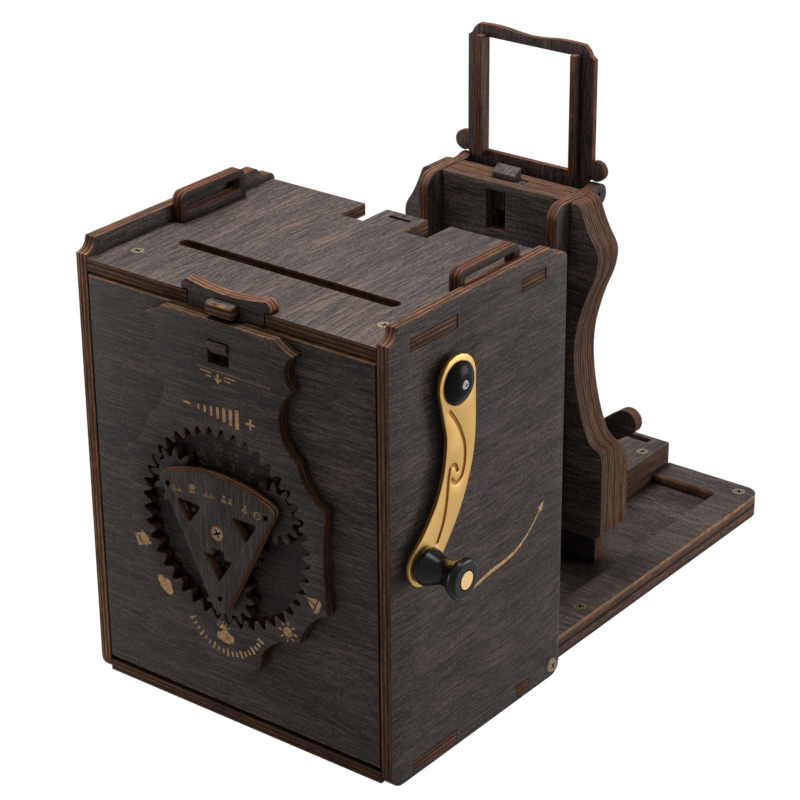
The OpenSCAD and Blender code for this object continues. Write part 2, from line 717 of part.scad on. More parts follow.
module crank_screw() {
    color(zinc) at() translate([cap_x + cap_h - 1, film_y, crank_z]) rotate([0, 90, 0]) difference() {
        union() {
            translate([0, 0, 1 - cap_h - 5]) cylinder(h = cap_h + 4 + eps, r = 0.9);
            cylinder(h = 0.9, r = cap_screw_r);
            translate([0, 0, 0.9]) cylinder(h = 0.3, r1 = cap_screw_r, r2 = cap_screw_r - 0.35);
        }
        translate([0, 0, 1.2]) rotate(15) cross(1);
    }
}
module crank_shaft() {
    color(zinc) at() difference() {
        union() {
            rod_x(cheek_x + 0.1, cap_x - 0.05, film_y, crank_z, shaft_r);
            translate([gear_x, film_y, crank_z]) rotate([90, 0, 90]) rotate(atan2(roller_z - crank_z, roller_pitch))
                linear_extrude(gear_w) polygon(drive_gear(pinion_teeth));
        }
        rod_x(cap_x - 5.5, cap_x + 1, film_y, crank_z, 0.92);
    }
}
module crank_bush() {
    color(brass) at() difference() {
        union() {
            rod_x(in_x - eps, arm_x - 0.2, film_y, crank_z, bush_r);
            rod_x(in_x - 1.4, in_x, film_y, crank_z, bush_r + 1.5);
        }
        rod_x(in_x - 2, arm_x + 1, film_y, crank_z, shaft_r + run);
    }
}
knob_x = cap_x + glide;
module knob_pin() {
    color(gold) at() union() {
        rod_x(arm_x + 0.05, knob_x + knob_len - 0.9, knob_y, knob_z, knob_pin_r);
        rod_x(knob_x + knob_len - 0.9 - eps, knob_x + knob_len + 0.1, knob_y, knob_z, 2.1);
    }
}
module knob_profile() {
    k = knob_len;
    belly = spline([[4, 0], [4.3, 0.06 * k], [4.25, 0.15 * k], [3.6, 0.29 * k], [3.05, 0.42 * k], [2.9, 0.52 * k],
        [3.1, 0.61 * k], [3.9, 0.74 * k], [4.65, 0.84 * k], [4.75, 0.91 * k], [4.4, 0.98 * k], [3.9, k]], 2);
    polygon(concat(
        [[knob_pin_r + run, 0]], belly,
        [[2.1 + glide, k], [2.1 + glide, k - 1.1], [knob_pin_r + run, k - 1.1]]
    ));
}
module crank_knob() {
    color(black) at() translate([knob_x, knob_y, knob_z]) rotate([0, 90, 0]) rotate_extrude() knob_profile();
}

// Film rollers
roller_x = cheek_x - glide;
module film_roller(y) {
    difference() {
        rod_x(-roller_x, roller_x, y, roller_z, roller_r);
        rod_x(-roller_x - 1, roller_x + 1, y, roller_z, axle_r + 0.02);
    }
}
module roller_gear(x, y, a) {
    translate([x, y, roller_z]) rotate([90, 0, 90]) rotate(a)
        linear_extrude(gear_w) polygon(drive_gear(roller_teeth));
}
mesh_dir = atan2(crank_z - roller_z, -roller_pitch);
module drive_roller() color(rubber) at() film_roller(drive_y);
module drive_axle() {
    color(zinc) at() union() {
        rod_x(-gear_x - gear_w, gear_x + gear_w, drive_y, roller_z, axle_r);
        roller_gear(gear_x, drive_y, mesh_dir + 180 / roller_teeth);
        roller_gear(-gear_x - gear_w, drive_y, 180);
    }
}
module pinch_roller() color(rubber) at() film_roller(pinch_y);
module pinch_axle() {
    color(zinc) at() union() {
        rod_x(-gear_x - gear_w, gear_x - 0.2, pinch_y, roller_z, axle_r);
        roller_gear(-gear_x - gear_w, pinch_y, 180 / roller_teeth);
    }
}

// Lens standard
// Outline of its right half: [x, height above the foot]
violin_marks = [
    [20.9, 87.7], [23.1, 87.2], [24.2, 85], [25.1, 82.8], [26.6, 79.8], [28.2, 77.3], [28.9, 75], [28.6, 72],
    [27.8, 69], [25.9, 64.4], [24.2, 59], [23, 53.6], [22.7, 47], [23.5, 39.6], [25.2, 32.2], [26.8, 28],
    [27.9, 25.9], [29.3, 24.8], [30.7, 24.1], [31.4, 22.3], [31.7, 18]
];
violin_k = (std_top - std_bottom) / 87.8;
violin_w = 31.8;
function violin_half(marks) = concat(
    spline([for (p = marks) [p[0] * violin_w / 31.8, std_bottom + p[1] * violin_k]], 3),
    [[violin_w, std_bottom + 1.5], [violin_w - 1.5, std_bottom]]
);
violin_edge = violin_half(violin_marks);
module violin() {
    difference() {
        polygon(concat([[0, std_top]], violin_edge, mirrored(violin_edge)));
        both() box2(flange_x - fit, arm_bottom - fit, flange_x + ply + fit, std_top + 1);
    }
}
module layer(i) face(std_y + i * ply, std_y + (i + 1) * ply) children();
module standard_back() {
    color(stain) at() layer(0) difference() {
        violin();
        translate([0, light_z]) circle(r = 8);
        box2(slide_mid - 2.8, std_top - 12.2, slide_mid + 2.8, std_top - 2);
    }
}
slide_foot = light_z - slide_lift - 4;
module standard_core() {
    color(stain) at() layer(1) difference() {
        violin();
        box2(-slide_x - 0.2, slide_foot - 0.5, slide_x + 0.2, std_top + 1);
    }
}
module standard_middle() {
    color(stain) at() layer(2) difference() {
        violin();
        translate([0, light_z]) circle(r = 6);
    }
}
// Smaller layer in front of the stack, with the two feet that run beside the rail
front_marks = [
    [25, 72.4], [24.6, 69], [22.4, 62], [20.4, 54], [20, 47], [20.6, 39.6], [22.2, 32.2], [24.4, 26.4],
    [27.4, 23.2], [30.2, 21], [31.5, 18.4], [31.7, 14]
];
foot_x = 24.5;
module standard_front() {
    half = concat(
        [[14, arm_bottom - 0.6]], violin_half(front_marks),
        [[foot_x, std_bottom], [foot_x, ply + 0.15], [rail_x + 0.5, ply + 0.15], [rail_x + 0.5, rail_top + 0.4]]
    );
    color(stain) at() layer(3) difference() {
        polygon(concat(half, mirrored(half)));
        translate([0, light_z]) circle(r = 6);
    }
}
// The lens board ends below the folded finder
board_top = eye_z - finder_h - 1.4;
module lens_board() {
    color(stain) at() difference() {
        layer(4) difference() {
            soft2(-18.5, std_bottom, 18.5, board_top, 2);
            translate([0, light_z]) circle(r = 6);
        }
        rod_y(std_y + 4 * ply - 1, std_y + 4 * ply + 0.35, 0, light_z, 7 + fit);
        rod_y(std_y + 4 * ply + 0.5, std_y + 5 * ply + 1, lever_pivot[0], lever_pivot[1], lever_r + fit);
    }
}
module standard_flanges() {
    back = std_y - 5.6;
    front = std_y + 4 * ply;
    high = std_top;
    color(stain) at() both() side(flange_x, flange_x + ply) difference() {
        union() {
            polygon(rounded([
                [back, std_bottom + 2, 1.5], [std_y, std_bottom + 2, 0], [std_y, arm_bottom, 0],
                [front, arm_bottom, 0.8], [front, eye_z - eye_r, 0], [eye_y, eye_z - eye_r, 0],
                [eye_y, eye_z + eye_r, 0], [front, eye_z + eye_r, 0], [front - 1.5, high, 0], [back, high, 4]
            ]));
            translate([eye_y, eye_z]) circle(r = eye_r);
        }
        translate([eye_y, eye_z]) circle(r = finder_pin_r + fit);
    }
}
module bellows_front_frame() {
    color(stain_dark) at() face(std_y - ply, std_y) difference() {
        soft2(-flange_x + 0.2, light_z - 22, flange_x - 0.2, light_z + 22, 1.5);
        soft2(-11, light_z - 17, 11, light_z + 17, 1);
    }
}
module pinhole_plate() {
    color(brass) at() face(std_y + 4 * ply, std_y + 4 * ply + 0.3) difference() {
        translate([0, light_z]) circle(r = 7);
        translate([0, light_z]) circle(r = 0.2);
    }
}
module finder_pivots() {
    color(zinc) at() both() rod_x(flange_x - 5, flange_x + ply + 0.3, eye_y, eye_z, finder_pin_r);
}
module lever_screw() {
    color(brass) at() translate([lever_pivot[0], lever_y + ply + 0.2, lever_pivot[1]]) rotate([-90, 0, 0])
        difference() {
            union() {
                cylinder(h = 1.3, r1 = 3, r2 = 2.6);
                translate([0, 0, -5.4]) cylinder(h = 5.4 + eps, r = lever_r);
            }
            translate([0, 0, 1.3]) rotate(40) cross(2.6);
        }
}
module shutter_slide() {
    back = std_y + ply + 0.2;
    front = std_y + 2 * ply - 0.2;
    color(stain) at() union() {
        face(back, front) difference() {
            polygon(rounded([
                [-slide_x, slide_foot, 1], [slide_x, slide_foot, 1], [slide_x, std_top - 0.2, 0.8],
                [-slide_x, std_top - 0.2, 0.8]
            ]));
            translate([0, light_z - slide_lift]) circle(r = 2.2);
            box2(slide_mid - 2.6, std_top - 14.8, slide_mid + 2.6, std_top - 8);
        }
        // Tab with a sloping top
        side(slide_mid - 3.4, slide_mid + 3.4) polygon([
            [back, std_top - 0.4], [front, std_top - 0.4], [front, std_top + 2.9], [front - 0.4, std_top + 3],
            [back, std_top + 1.4]
        ]);
    }
}
module shutter_lever() {
    p = lever_pivot;
    paddle = [[20, p[1] - 3.2], [24.6, p[1] - 0.8], [28.3, p[1] + 1.7]];
    spine = spline(concat([[0, light_z], [7, light_z - 4.6], p], paddle), 4);
    wide = [for (w = spline([[6, 0], [3.2, 0], [4.2, 0], [2.9, 0], [3.2, 0], [3.3, 0]], 4)) w[0]];
    color(stain) at() face(lever_y, lever_y + ply) difference() {
        polygon(limb(spine, wide));
        translate(p) circle(r = lever_r + run);
    }
}

// Finder, folding forwards on its two pivots
finder_y = eye_y - finder_ply / 2;
finder_top = eye_z + finder_h;
finder_x = finder_w / 2;
wall_in = finder_x - 5.5;
wall_d = 2.2;
module finder_frame() {
    s = finder_top - 3.3;
    ear = eye_z + 6;
    low = eye_z + eye_r + 0.5;
    x = finder_x;
    z = finder_top;
    wave = arc3([x - 3, z - 0.1], [x * 0.6, z + 0.1], [x * 0.38, z - 0.1], 5);
    dip = arc3([x * 0.36, z - 0.14], [x * 0.17, z - 0.56], [0, z - 0.74], 4);
    half = concat(
        [[flange_x - 0.4, eye_z - ply / 2], [flange_x - 0.4, low], [finder_x - 0.4, low]],
        arc3([finder_x, ear - 2.2], [finder_x + 3.8, ear], [finder_x, ear + 2.2], 12),
        [[finder_x, s], [finder_x - 1.1, s + 0.8], [finder_x - 1.8, s + 2.1]], wave, dip
    );
    rest = [for (i = [len(half) - 2:-1:0]) [-half[i][0], half[i][1]]];
    color(stain) at() difference() {
        face(finder_y, finder_y + finder_ply) difference() {
            polygon(concat(half, rest));
            box2(-wall_in - 0.3, eye_z + 4.6, wall_in + 0.3, finder_top - 3);
        }
        both() rod_x(flange_x - 5.2, flange_x + 1, eye_y, eye_z, finder_pin_r + run);
    }
}
module finder_walls() {
    color(stain) at() both() face(finder_y - wall_d, finder_y)
        box2(wall_in, eye_z + 3.6, wall_in + finder_ply, finder_top - 2.4);
}

left_side_plate();
right_side_plate();
top_plate();
floor_plate();
film_gate();
bellows_rear_frame();
strap_lugs();
film_guides();
roller_cheeks();
nip_springs();
top_cleats();
plate_screws();
bed_base();
bed_top();
bed_rail();
bed_pivot_screws();
crank_bush();
bellows();
door_panel();
door_face();
door_tab();
door_grip();
door_pins();
door_backing();
film_spring();
dial_screw();
release_spring();
release_slider();
dial_carrier();
planet_pins();
planet_gear_a();
planet_gear_b();
planet_gear_c();
sun_gear();
crank_arm();
crank_cap();
crank_screw();
crank_shaft();
knob_pin();
crank_knob();
drive_roller();
drive_axle();
pinch_roller();
pinch_axle();
standard_back();
standard_core();
standard_middle();
standard_front();
lens_board();
standard_flanges();
bellows_front_frame();
pinhole_plate();
finder_pivots();
lever_screw();
finder_frame();
finder_walls();
shutter_slide();
shutter_lever();
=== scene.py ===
import json
import math

import bmesh
import bpy
from mathutils import Matrix, Vector


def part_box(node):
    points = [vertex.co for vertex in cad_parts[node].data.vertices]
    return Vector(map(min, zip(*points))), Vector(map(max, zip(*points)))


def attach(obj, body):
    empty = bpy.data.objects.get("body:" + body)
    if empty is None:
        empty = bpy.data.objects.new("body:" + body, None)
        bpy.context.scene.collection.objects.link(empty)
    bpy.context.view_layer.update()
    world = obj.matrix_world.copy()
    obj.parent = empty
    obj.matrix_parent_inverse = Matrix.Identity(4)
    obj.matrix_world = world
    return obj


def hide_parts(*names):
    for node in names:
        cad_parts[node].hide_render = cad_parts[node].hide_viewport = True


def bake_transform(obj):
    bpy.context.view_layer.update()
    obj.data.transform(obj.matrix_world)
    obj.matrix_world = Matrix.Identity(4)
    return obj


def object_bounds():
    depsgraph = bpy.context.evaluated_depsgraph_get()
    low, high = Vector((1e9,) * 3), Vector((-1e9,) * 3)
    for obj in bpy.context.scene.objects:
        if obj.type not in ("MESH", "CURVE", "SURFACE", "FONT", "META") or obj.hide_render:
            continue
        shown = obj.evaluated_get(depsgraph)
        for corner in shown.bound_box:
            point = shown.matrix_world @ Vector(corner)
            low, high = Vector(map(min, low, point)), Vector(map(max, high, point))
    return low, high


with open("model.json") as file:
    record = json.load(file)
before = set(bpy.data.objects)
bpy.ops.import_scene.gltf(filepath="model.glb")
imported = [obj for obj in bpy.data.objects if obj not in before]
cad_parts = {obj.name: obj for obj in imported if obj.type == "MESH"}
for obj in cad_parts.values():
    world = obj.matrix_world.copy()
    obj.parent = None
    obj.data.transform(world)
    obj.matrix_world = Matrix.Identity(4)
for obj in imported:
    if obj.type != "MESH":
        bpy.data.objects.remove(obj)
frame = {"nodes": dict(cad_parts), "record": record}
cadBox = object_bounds()
nodes = frame["nodes"]
slotOf = {row["node"]: row["material_slot"] for row in frame["record"]["subparts"]}
bodies = frame["record"]["behaviour"]["bodies"]
bodyOf = {node: body for body, members in bodies.items() for node in members}
mm = 0.001
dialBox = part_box("sun_gear")
dialAt = (dialBox[0] + dialBox[1]) / 2


# One output socket; Python's operators add the Math nodes
class Wire:
    def __init__(self, finish, socket):
        self.finish = finish
        self.socket = socket

    def math(self, operation, other=None, flip=False):
        pair = [self] if other is None else [other, self] if flip else [self, other]
        return self.finish.node("ShaderNodeMath", {"operation": operation}, dict(enumerate(pair)))

    def __add__(self, other):
        return self.math("ADD", other)

    def __radd__(self, other):
        return self.math("ADD", other)

    def __sub__(self, other):
        return self.math("SUBTRACT", other)

    def __rsub__(self, other):
        return self.math("SUBTRACT", other, True)

    def __mul__(self, other):
        return self.math("MULTIPLY", other)

    def __rmul__(self, other):
        return self.math("MULTIPLY", other)

    def __truediv__(self, other):
        return self.math("DIVIDE", other)

    def __rtruediv__(self, other):
        return self.math("DIVIDE", other, True)


# The node tree of a material or of the world
class Finish:
    def __init__(self, owner, shader):
        owner.use_nodes = True
        self.tree = owner.node_tree
        self.shader = self.tree.nodes[shader]

    def plug(self, socket, value):
        if isinstance(value, Wire):
            self.tree.links.new(value.socket, socket)
        elif socket.type == "RGBA" and len(value) == 3:
            socket.default_value = (*value, 1)
        else:
            socket.default_value = value

    def set(self, sockets):
        for name, value in sockets.items():
            self.plug(self.shader.inputs[name], value)

    def node(self, kind, settings=None, sockets=None, out=0):
        made = self.tree.nodes.new(kind)
        for name, value in (settings or {}).items():
            if name == "stops":
                self.setStops(made.color_ramp.elements, value)
            else:
                setattr(made, name, value)
        for name, value in (sockets or {}).items():
            self.plug(made.inputs[name], value)
        return Wire(self, made.outputs[out])

    def setStops(self, elements, stops):
        for element, (place, colour) in ((elements[0], stops[0]), (elements[1], stops[-1])):
            element.position = place
            element.color = (*colour, 1)
        for place, colour in stops[1:-1]:
            elements.new(place).color = (*colour, 1)

    def place(self):                          # the part's own frame, in mm
        return self.vector("MULTIPLY", self.node("ShaderNodeTexCoord", out="Object"), (1 / mm,) * 3)

    def vector(self, operation, a, b):
        return self.node("ShaderNodeVectorMath", {"operation": operation}, {0: a, 1: b})

    def split(self, vector):
        first = self.node("ShaderNodeSeparateXYZ", {}, {0: vector})
        return [Wire(self, socket) for socket in first.socket.node.outputs]

    def fromAxis(self, place, middle):        # mm from a line along y, at the height of middle
        x, y, z = self.split(place)
        return (x * x + (z - middle) * (z - middle)).math("SQRT")

    def noise(self, place, size, detail=2.0, rough=0.5):   # size: waves per mm along x, y and z
        return self.node("ShaderNodeTexNoise", {}, {
            "Vector": self.vector("MULTIPLY", place, size), "Scale": 1.0, "Detail": detail,
            "Roughness": rough})

    def step(self, value, start, end):        # from 0 at start to 1 at end
        return self.node("ShaderNodeMapRange", {"interpolation_type": "SMOOTHSTEP"},
                         {0: value, 1: start, 2: end})

    def ramp(self, value, stops):
        return self.node("ShaderNodeValToRGB", {"stops": stops}, {0: value})

    def mix(self, share, a, b, blend="MIX"):
        return self.node("ShaderNodeMix", {"data_type": "RGBA", "blend_type": blend},
                         {0: share, 6: a, 7: b}, 2)

    def dim(self, colour, gain):              # the colour times a value that changes over the surface
        grey = self.node("ShaderNodeCombineColor", {}, {0: gain, 1: gain, 2: gain})
        return self.mix(1.0, colour, grey, "MULTIPLY")

    def clearance(self, reach):               # 0 in a crevice, 1 in the open; reach in mm; the mask of the painted shade
        return self.node("ShaderNodeAmbientOcclusion", {"samples": 6}, {"Distance": reach * mm}, "AO")

    def bump(self, height, depth):            # depth in mm
        return self.node("ShaderNodeBump", {}, {
            "Strength": 1.0, "Distance": depth * mm, "Height": height})


def newFinish(name):
    material = bpy.data.materials.new(name)
    return material, Finish(material, "Principled BSDF")


# Stained plywood: a dark grained veneer on the faces, and the brown plies of the cut edges
plyLook = {
    "sheet": 3.0,                             # mm
    "veneer": [(0.20, (0.0130, 0.0098, 0.0092)), (0.40, (0.034, 0.0256, 0.0238)),
               (0.54, (0.050, 0.0378, 0.0350)), (0.70, (0.083, 0.0615, 0.0545)),
               (0.90, (0.135, 0.094, 0.074))],
    "pore": (0.011, 0.0082, 0.0078), "poreShare": 0.3,
    "plies": [(0.0, (0.006, 0.003, 0.0018)), (0.05, (0.032, 0.0150, 0.0090)),
              (0.12, (0.200, 0.090, 0.043)), (0.20, (0.115, 0.0480, 0.0240)),
              (0.30, (0.036, 0.0155, 0.0088)), (0.38, (0.062, 0.0260, 0.0138)),
              (0.47, (0.195, 0.086, 0.042)), (0.56, (0.140, 0.0590, 0.0290)),
              (0.66, (0.036, 0.0155, 0.0088)), (0.78, (0.080, 0.0340, 0.0175)),
              (0.88, (0.215, 0.098, 0.048)), (0.95, (0.032, 0.0150, 0.0090)),
              (1.0, (0.006, 0.003, 0.0018))],
    "waver": 0.1,                             # share of a sheet by which the plies wander
    "edgeLight": {"least": 0.3, "run": 0.8, "scorch": 0.4},
    "worn": (0.40, 0.205, 0.100), "arrisWear": {"least": 0.08, "rubbed": 0.6},
    "brown": (0.19, 0.112, 0.065), "faded": 0.12,      # veneer that has lost its stain
    "mean": (0.100, 0.0455, 0.0245),          # a plain cut edge
    "glue": (0.008, 0.004, 0.0025), "seam": 0.1,       # the line between two sheets
    "reach": 2.6, "grime": 0.22,              # mm of a crevice, share of light left in it by the painted shade
    "inner": 0.6, "gear": 0.75,               # tone against the outer plates
    "sway": 5.0, "relief": 0.03,              # mm by which the grain bends and stands up
    "rough": {"edge": 0.78, "face": -0.19, "fibre": 0.25, "pores": 0.1},
    "weights": {"fibre": 1.75, "speckle": 1.35, "streak": 0.75, "figure": 0.5},
}
plyNoise = {                                  # waves per mm along, across and through, detail, roughness
    "drift": ((0.022, 0.05, 0.3), 2, 0.5), "fibre": ((0.16, 3.6, 0.37), 4, 0.62),
    "speckle": ((1.2, 4.2, 0.53), 2, 0.5), "streak": ((0.05, 1.5, 0.41), 3, 0.6),
    "figure": ((0.012, 0.14, 0.29), 3, 0.55), "run": ((0.1, 0.1, 2.8), 3, 0.6),
    "scorch": ((0.5, 0.5, 1.2), 3, 0.6), "rubbed": ((0.5, 0.5, 0.8), 3, 0.6),
}
plySteps = {                                  # where each share starts and is full
    "pores": (0.60, 0.74), "fadedFigure": (0.48, 0.66), "fadedStreak": (0.5, 0.68), "run": (0.36, 0.66),
    "scorch": (0.38, 0.68), "rubbed": (0.44, 0.66), "clear": (0.3, 0.82),
    "face": (0.89, 0.96), "arris": (0.2, 0.5),         # cosine of the turn from the sheet's face
}
plyCache = {}


def veneerColour(finish, look, noises, pores):
    value = 0.5
    for name, weight in plyLook["weights"].items():
        value = value + (noises[name] - 0.5) * weight
    colour = finish.mix(pores * plyLook["poreShare"], finish.ramp(value, plyLook["veneer"]), plyLook["pore"])
    if "face" in look:
        colour = finish.mix(1.0, colour, (look["face"],) * 3, "MULTIPLY")
    faded = finish.step(noises["figure"], *plySteps["fadedFigure"])
    faded = faded * finish.step(noises["streak"], *plySteps["fadedStreak"])
    return finish.mix(faded * look.get("faded", plyLook["faded"]), colour, plyLook["brown"])


def edgeColour(finish, look, noises, layer):
    colour = finish.ramp(layer + (noises["run"] - 0.5) * plyLook["waver"], plyLook["plies"])
    if "plain" in look:                       # hardly any lines, only a seam between two sheets
        thick = look.get("seam", plyLook["seam"])
        core = thick * 0.3                    # the darkest part of the seam
        sound = finish.step(layer, core, thick) * finish.step(layer, 1 - core, 1 - thick)
        plain = finish.mix(sound, plyLook["glue"], look.get("mean", plyLook["mean"]))
        colour = finish.mix(look["plain"], colour, plain)
    lit = plyLook["edgeLight"]["least"]
    for name in ("run", "scorch"):
        lit = lit + finish.step(noises[name], *plySteps[name]) * plyLook["edgeLight"][name]
    return finish.dim(colour, lit * look.get("edge", 1.0))


# Painted shade in crevices and in the dial's pit, and strips of painted light, times the plate's tone
def plyShade(finish, look, place, clear):
    shade = (plyLook["grime"] + clear * (1 - plyLook["grime"])) * look["tone"]
    if "soot" in look:                        # painted shade of the dial's pit, round an axis along y
        middle, reach, left = look["soot"]
        outsidePit = finish.step(finish.fromAxis(place, middle), reach - 0.5, reach + 0.5)
        shade = shade * (left + outsidePit * (1 - left))
    if "band" in look:                        # a strip of painted light: axis, start, end, gain
        axis, start, end, gain = look["band"]
        shade = shade * (1 + finish.step(finish.split(place)[axis], start, end) * (gain - 1))
    return shade


def plywood(through, along, low, look):
    sheet = look.get("sheet", plyLook["sheet"])
    key = (through, along, round(low % sheet, 2), tuple(sorted(look.items())))
    if key in plyCache:
        return plyCache[key]
    material, finish = newFinish("plywood_%d_%s%s" % (len(plyCache), "xyz"[through], "xyz"[along]))
    plyCache[key] = material
    across = 3 - through - along
    place = finish.place()

    def clouds(name, where):
        size, detail, rough = plyNoise[name]
        axes = [0, 0, 0]
        axes[along], axes[across], axes[through] = size
        return finish.noise(where, tuple(axes), detail, rough)

    sway = [0, 0, 0]
    sway[across] = (clouds("drift", place) - 0.5) * plyLook["sway"]
    bent = finish.vector("ADD", place, finish.node("ShaderNodeCombineXYZ", {}, dict(enumerate(sway))))
    noises = {name: clouds(name, bent) for name in plyLook["weights"]}
    for name in ("run", "scorch", "rubbed"):
        noises[name] = clouds(name, place)
    pores = finish.step(noises["speckle"], *plySteps["pores"])
    rubbed = finish.step(noises["rubbed"], *plySteps["rubbed"])

    depth = finish.split(place)[through]
    if through == 0:                          # the plates of a pair mirror each other
        depth = depth.math("ABSOLUTE")
    layer = ((depth - low) / sheet).math("FRACT")
    normal = finish.split(finish.node("ShaderNodeTexCoord", out="Normal"))
    facing = normal[through].math("ABSOLUTE")
    face = finish.step(facing, *plySteps["face"])
    arris = finish.step(facing, *plySteps["arris"]) * (1 - face)
    if "cut" in look:                         # a small piece whose cut edges were rubbed with stain
        face = face.math("MAXIMUM", 1 - look["cut"])
    clear = finish.step(finish.clearance(plyLook["reach"]), *plySteps["clear"])

    colour = finish.mix(face, edgeColour(finish, look, noises, layer),
                        veneerColour(finish, look, noises, pores))
    wear = plyLook["arrisWear"]["least"] + rubbed * plyLook["arrisWear"]["rubbed"]
    colour = finish.mix(arris * clear * wear * look.get("wear", 1.0), colour, plyLook["worn"])
    if "tint" in look:
        colour = finish.mix(1.0, colour, look["tint"], "MULTIPLY")
    # the plate's painted shade and painted light go into its colour here
    colour = finish.dim(colour, plyShade(finish, look, place, clear))
    if "rub" in look:                         # a worn strip with painted highlight, laid over the painted shade: axis, start, end, share on the faces
        axis, start, end, share = look["rub"]
        strip = finish.step(finish.split(place)[axis], start, end) * (1 - face * (1 - share))
        colour = finish.mix(strip * (0.5 + rubbed * 0.5), colour, plyLook["worn"])
    burr = noises["run"] * 0.8 + noises["scorch"] * 0.6
    height = noises["fibre"] * 0.5 + noises["streak"] * 0.35 - pores * 0.5 + (1 - face) * burr
    rough = plyLook["rough"]["edge"] + face * plyLook["rough"]["face"] + pores * plyLook["rough"]["pores"]
    rough = rough + (noises["fibre"] - 0.5) * plyLook["rough"]["fibre"]
    finish.set({
        "Base Color": colour, "Roughness": rough, "Specular IOR Level": 0.2,
        "Normal": finish.bump(height, plyLook["relief"])})
    return material


# Metals; the grooves of the crank arm and the seats of the screws are darker than the rest, by painted shade
# in the arm's groove and on its sides and in the crosses of the screws
metalLook = {
    "gold": {"base": (0.95, 0.65, 0.30), "tint": (0.80, 0.52, 0.20), "rough": 0.42, "brush": (7, 7, 0.5),
             "spots": 0.3},
    # the arm's tint serves both as tarnish and as the painted shade of its groove and sides
    "armGold": {"base": (0.69, 0.43, 0.148), "tint": (0.36, 0.19, 0.035), "rough": 0.42,
                "brush": (7, 7, 0.5), "spots": 0.08, "flat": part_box("crank_arm")[1].x / mm},
    "brass": {"base": (0.30, 0.25, 0.17), "tint": (0.13, 0.10, 0.065), "rough": 0.44, "brush": (3, 3, 3),
              "recess": (0.7, 0.45, 0.9)},
    "seated": {"base": (0.21, 0.175, 0.13), "tint": (0.10, 0.08, 0.06), "rough": 0.36, "brush": (3, 3, 3),
               "recess": (1.2, 0.6, 0.97), "rim": (dialAt.z / mm, 1.45)},
    "zinc": {"base": (0.55, 0.53, 0.49), "tint": (0.26, 0.24, 0.21), "rough": 0.34, "brush": (3, 3, 3),
             "recess": (0.7, 0.45, 0.9)},
}
metalWearAndShade = {"size": (0.35, 0.35, 0.35), "tarnish": (0.42, 0.75), "spots": 0.55,
             "dirt": (0.012, 0.010, 0.008), "seat": (0.19, 0.085, 0.035)}


def metal(name):
    look = metalLook[name]
    material, finish = newFinish(name + "_metal")
    place = finish.place()
    spots = look.get("spots", metalWearAndShade["spots"])
    brush = finish.noise(place, look["brush"], 3, 0.6)
    tarnish = finish.noise(place, metalWearAndShade["size"], 4, 0.6)
    tarnishAndShade = finish.step(tarnish, *metalWearAndShade["tarnish"]) * spots
    if "flat" in look:                        # painted shade: below its outer face, in the groove and on the sides, the metal is darker
        depth = finish.split(place)[0]
        tarnishAndShade = tarnishAndShade.math("MAXIMUM", 1 - finish.step(depth, look["flat"] - 0.22, look["flat"] - 0.06))
    colour = finish.mix(tarnishAndShade, look["base"], look["tint"])
    if "recess" in look:                      # painted shade in the cross of a screw: mm, start, end
        reach, start, end = look["recess"]
        colour = finish.mix(finish.step(finish.clearance(reach), start, end), metalWearAndShade["dirt"], colour)
    if "rim" in look:                         # a head sunk in a brown seat: height of its axis, radius
        middle, radius = look["rim"]
        seat = finish.step(finish.fromAxis(place, middle), radius - 0.1, radius + 0.05)
        colour = finish.mix(seat, colour, metalWearAndShade["seat"])
    finish.set({
        "Base Color": colour, "Metallic": 1.0, "Normal": finish.bump(brush, 0.006),
        "Roughness": look["rough"] + (brush - 0.5) * 0.25 + (tarnish - 0.5) * 0.4 * spots})
    return material


blackLook = {"base": (0.0035, 0.0033, 0.0031), "dust": (0.04, 0.038, 0.036), "dusty": (0.58, 0.80),
             "rough": 0.24, "shine": {"turned_black": 0.24, "cap_black": 0.07}}


def turnedBlack(name):
    material, finish = newFinish(name)
    place = finish.place()
    dust = finish.step(finish.noise(place, (2.2, 2.2, 2.2), 5, 0.7), *blackLook["dusty"])
    rings = finish.noise(place, (6.0, 0.4, 0.4))
    finish.set({
        "Base Color": finish.mix(dust * 0.3, blackLook["base"], blackLook["dust"]),
        "Roughness": blackLook["rough"] + dust * 0.25 + (rings - 0.5) * 0.15,
        "Specular IOR Level": blackLook["shine"][name], "Normal": finish.bump(rings, 0.004)})
    return material


rubberLook = {"colours": [(0.3, (0.008, 0.008, 0.008)), (0.7, (0.028, 0.027, 0.026))], "rough": 0.72}


def rollerRubber():
    material, finish = newFinish("roller_rubber")
    grain = finish.noise(finish.place(), (2.5, 2.5, 2.5), 5, 0.65)
    finish.set({
        "Base Color": finish.ramp(grain, rubberLook["colours"]),
        "Roughness": rubberLook["rough"] + (grain - 0.5) * 0.3, "Specular IOR Level": 0.35,
        "Normal": finish.bump(grain, 0.03)})
    return material


clothLook = {"colours": [(0.3, (0.007, 0.007, 0.0075)), (0.75, (0.026, 0.025, 0.025))], "threads": 9,
             "rough": 0.82}


def bellowsCloth():
    material, finish = newFinish("bellows_cloth")
    place = finish.place()
    x, y, z = ((axis * clothLook["threads"]).math("SINE") for axis in finish.split(place))
    weave = x * z * 0.5 + y * 0.5
    cloud = finish.noise(place, (0.2, 0.2, 0.2), 4, 0.6)
    finish.set({
        "Base Color": finish.ramp(cloud + weave * 0.08, clothLook["colours"]),
        "Roughness": clothLook["rough"] + weave * 0.05, "Sheen Weight": 0.25, "Sheen Roughness": 0.5,
        "Specular IOR Level": 0.25, "Normal": finish.bump(weave, 0.03)})
    return material


# Bare wood of the engraved marks: dark and pale; the shaded finish is darker by painted shade, for the
# numbers in the dial's pit
woodLook = {"engraved_wood": ((0.30, 0.165, 0.08), (0.66, 0.40, 0.185)),
            "soft_engraved_wood": ((0.13, 0.072, 0.036), (0.38, 0.225, 0.11)),
            "shaded_engraved_wood": ((0.055, 0.032, 0.018), (0.20, 0.115, 0.055))}


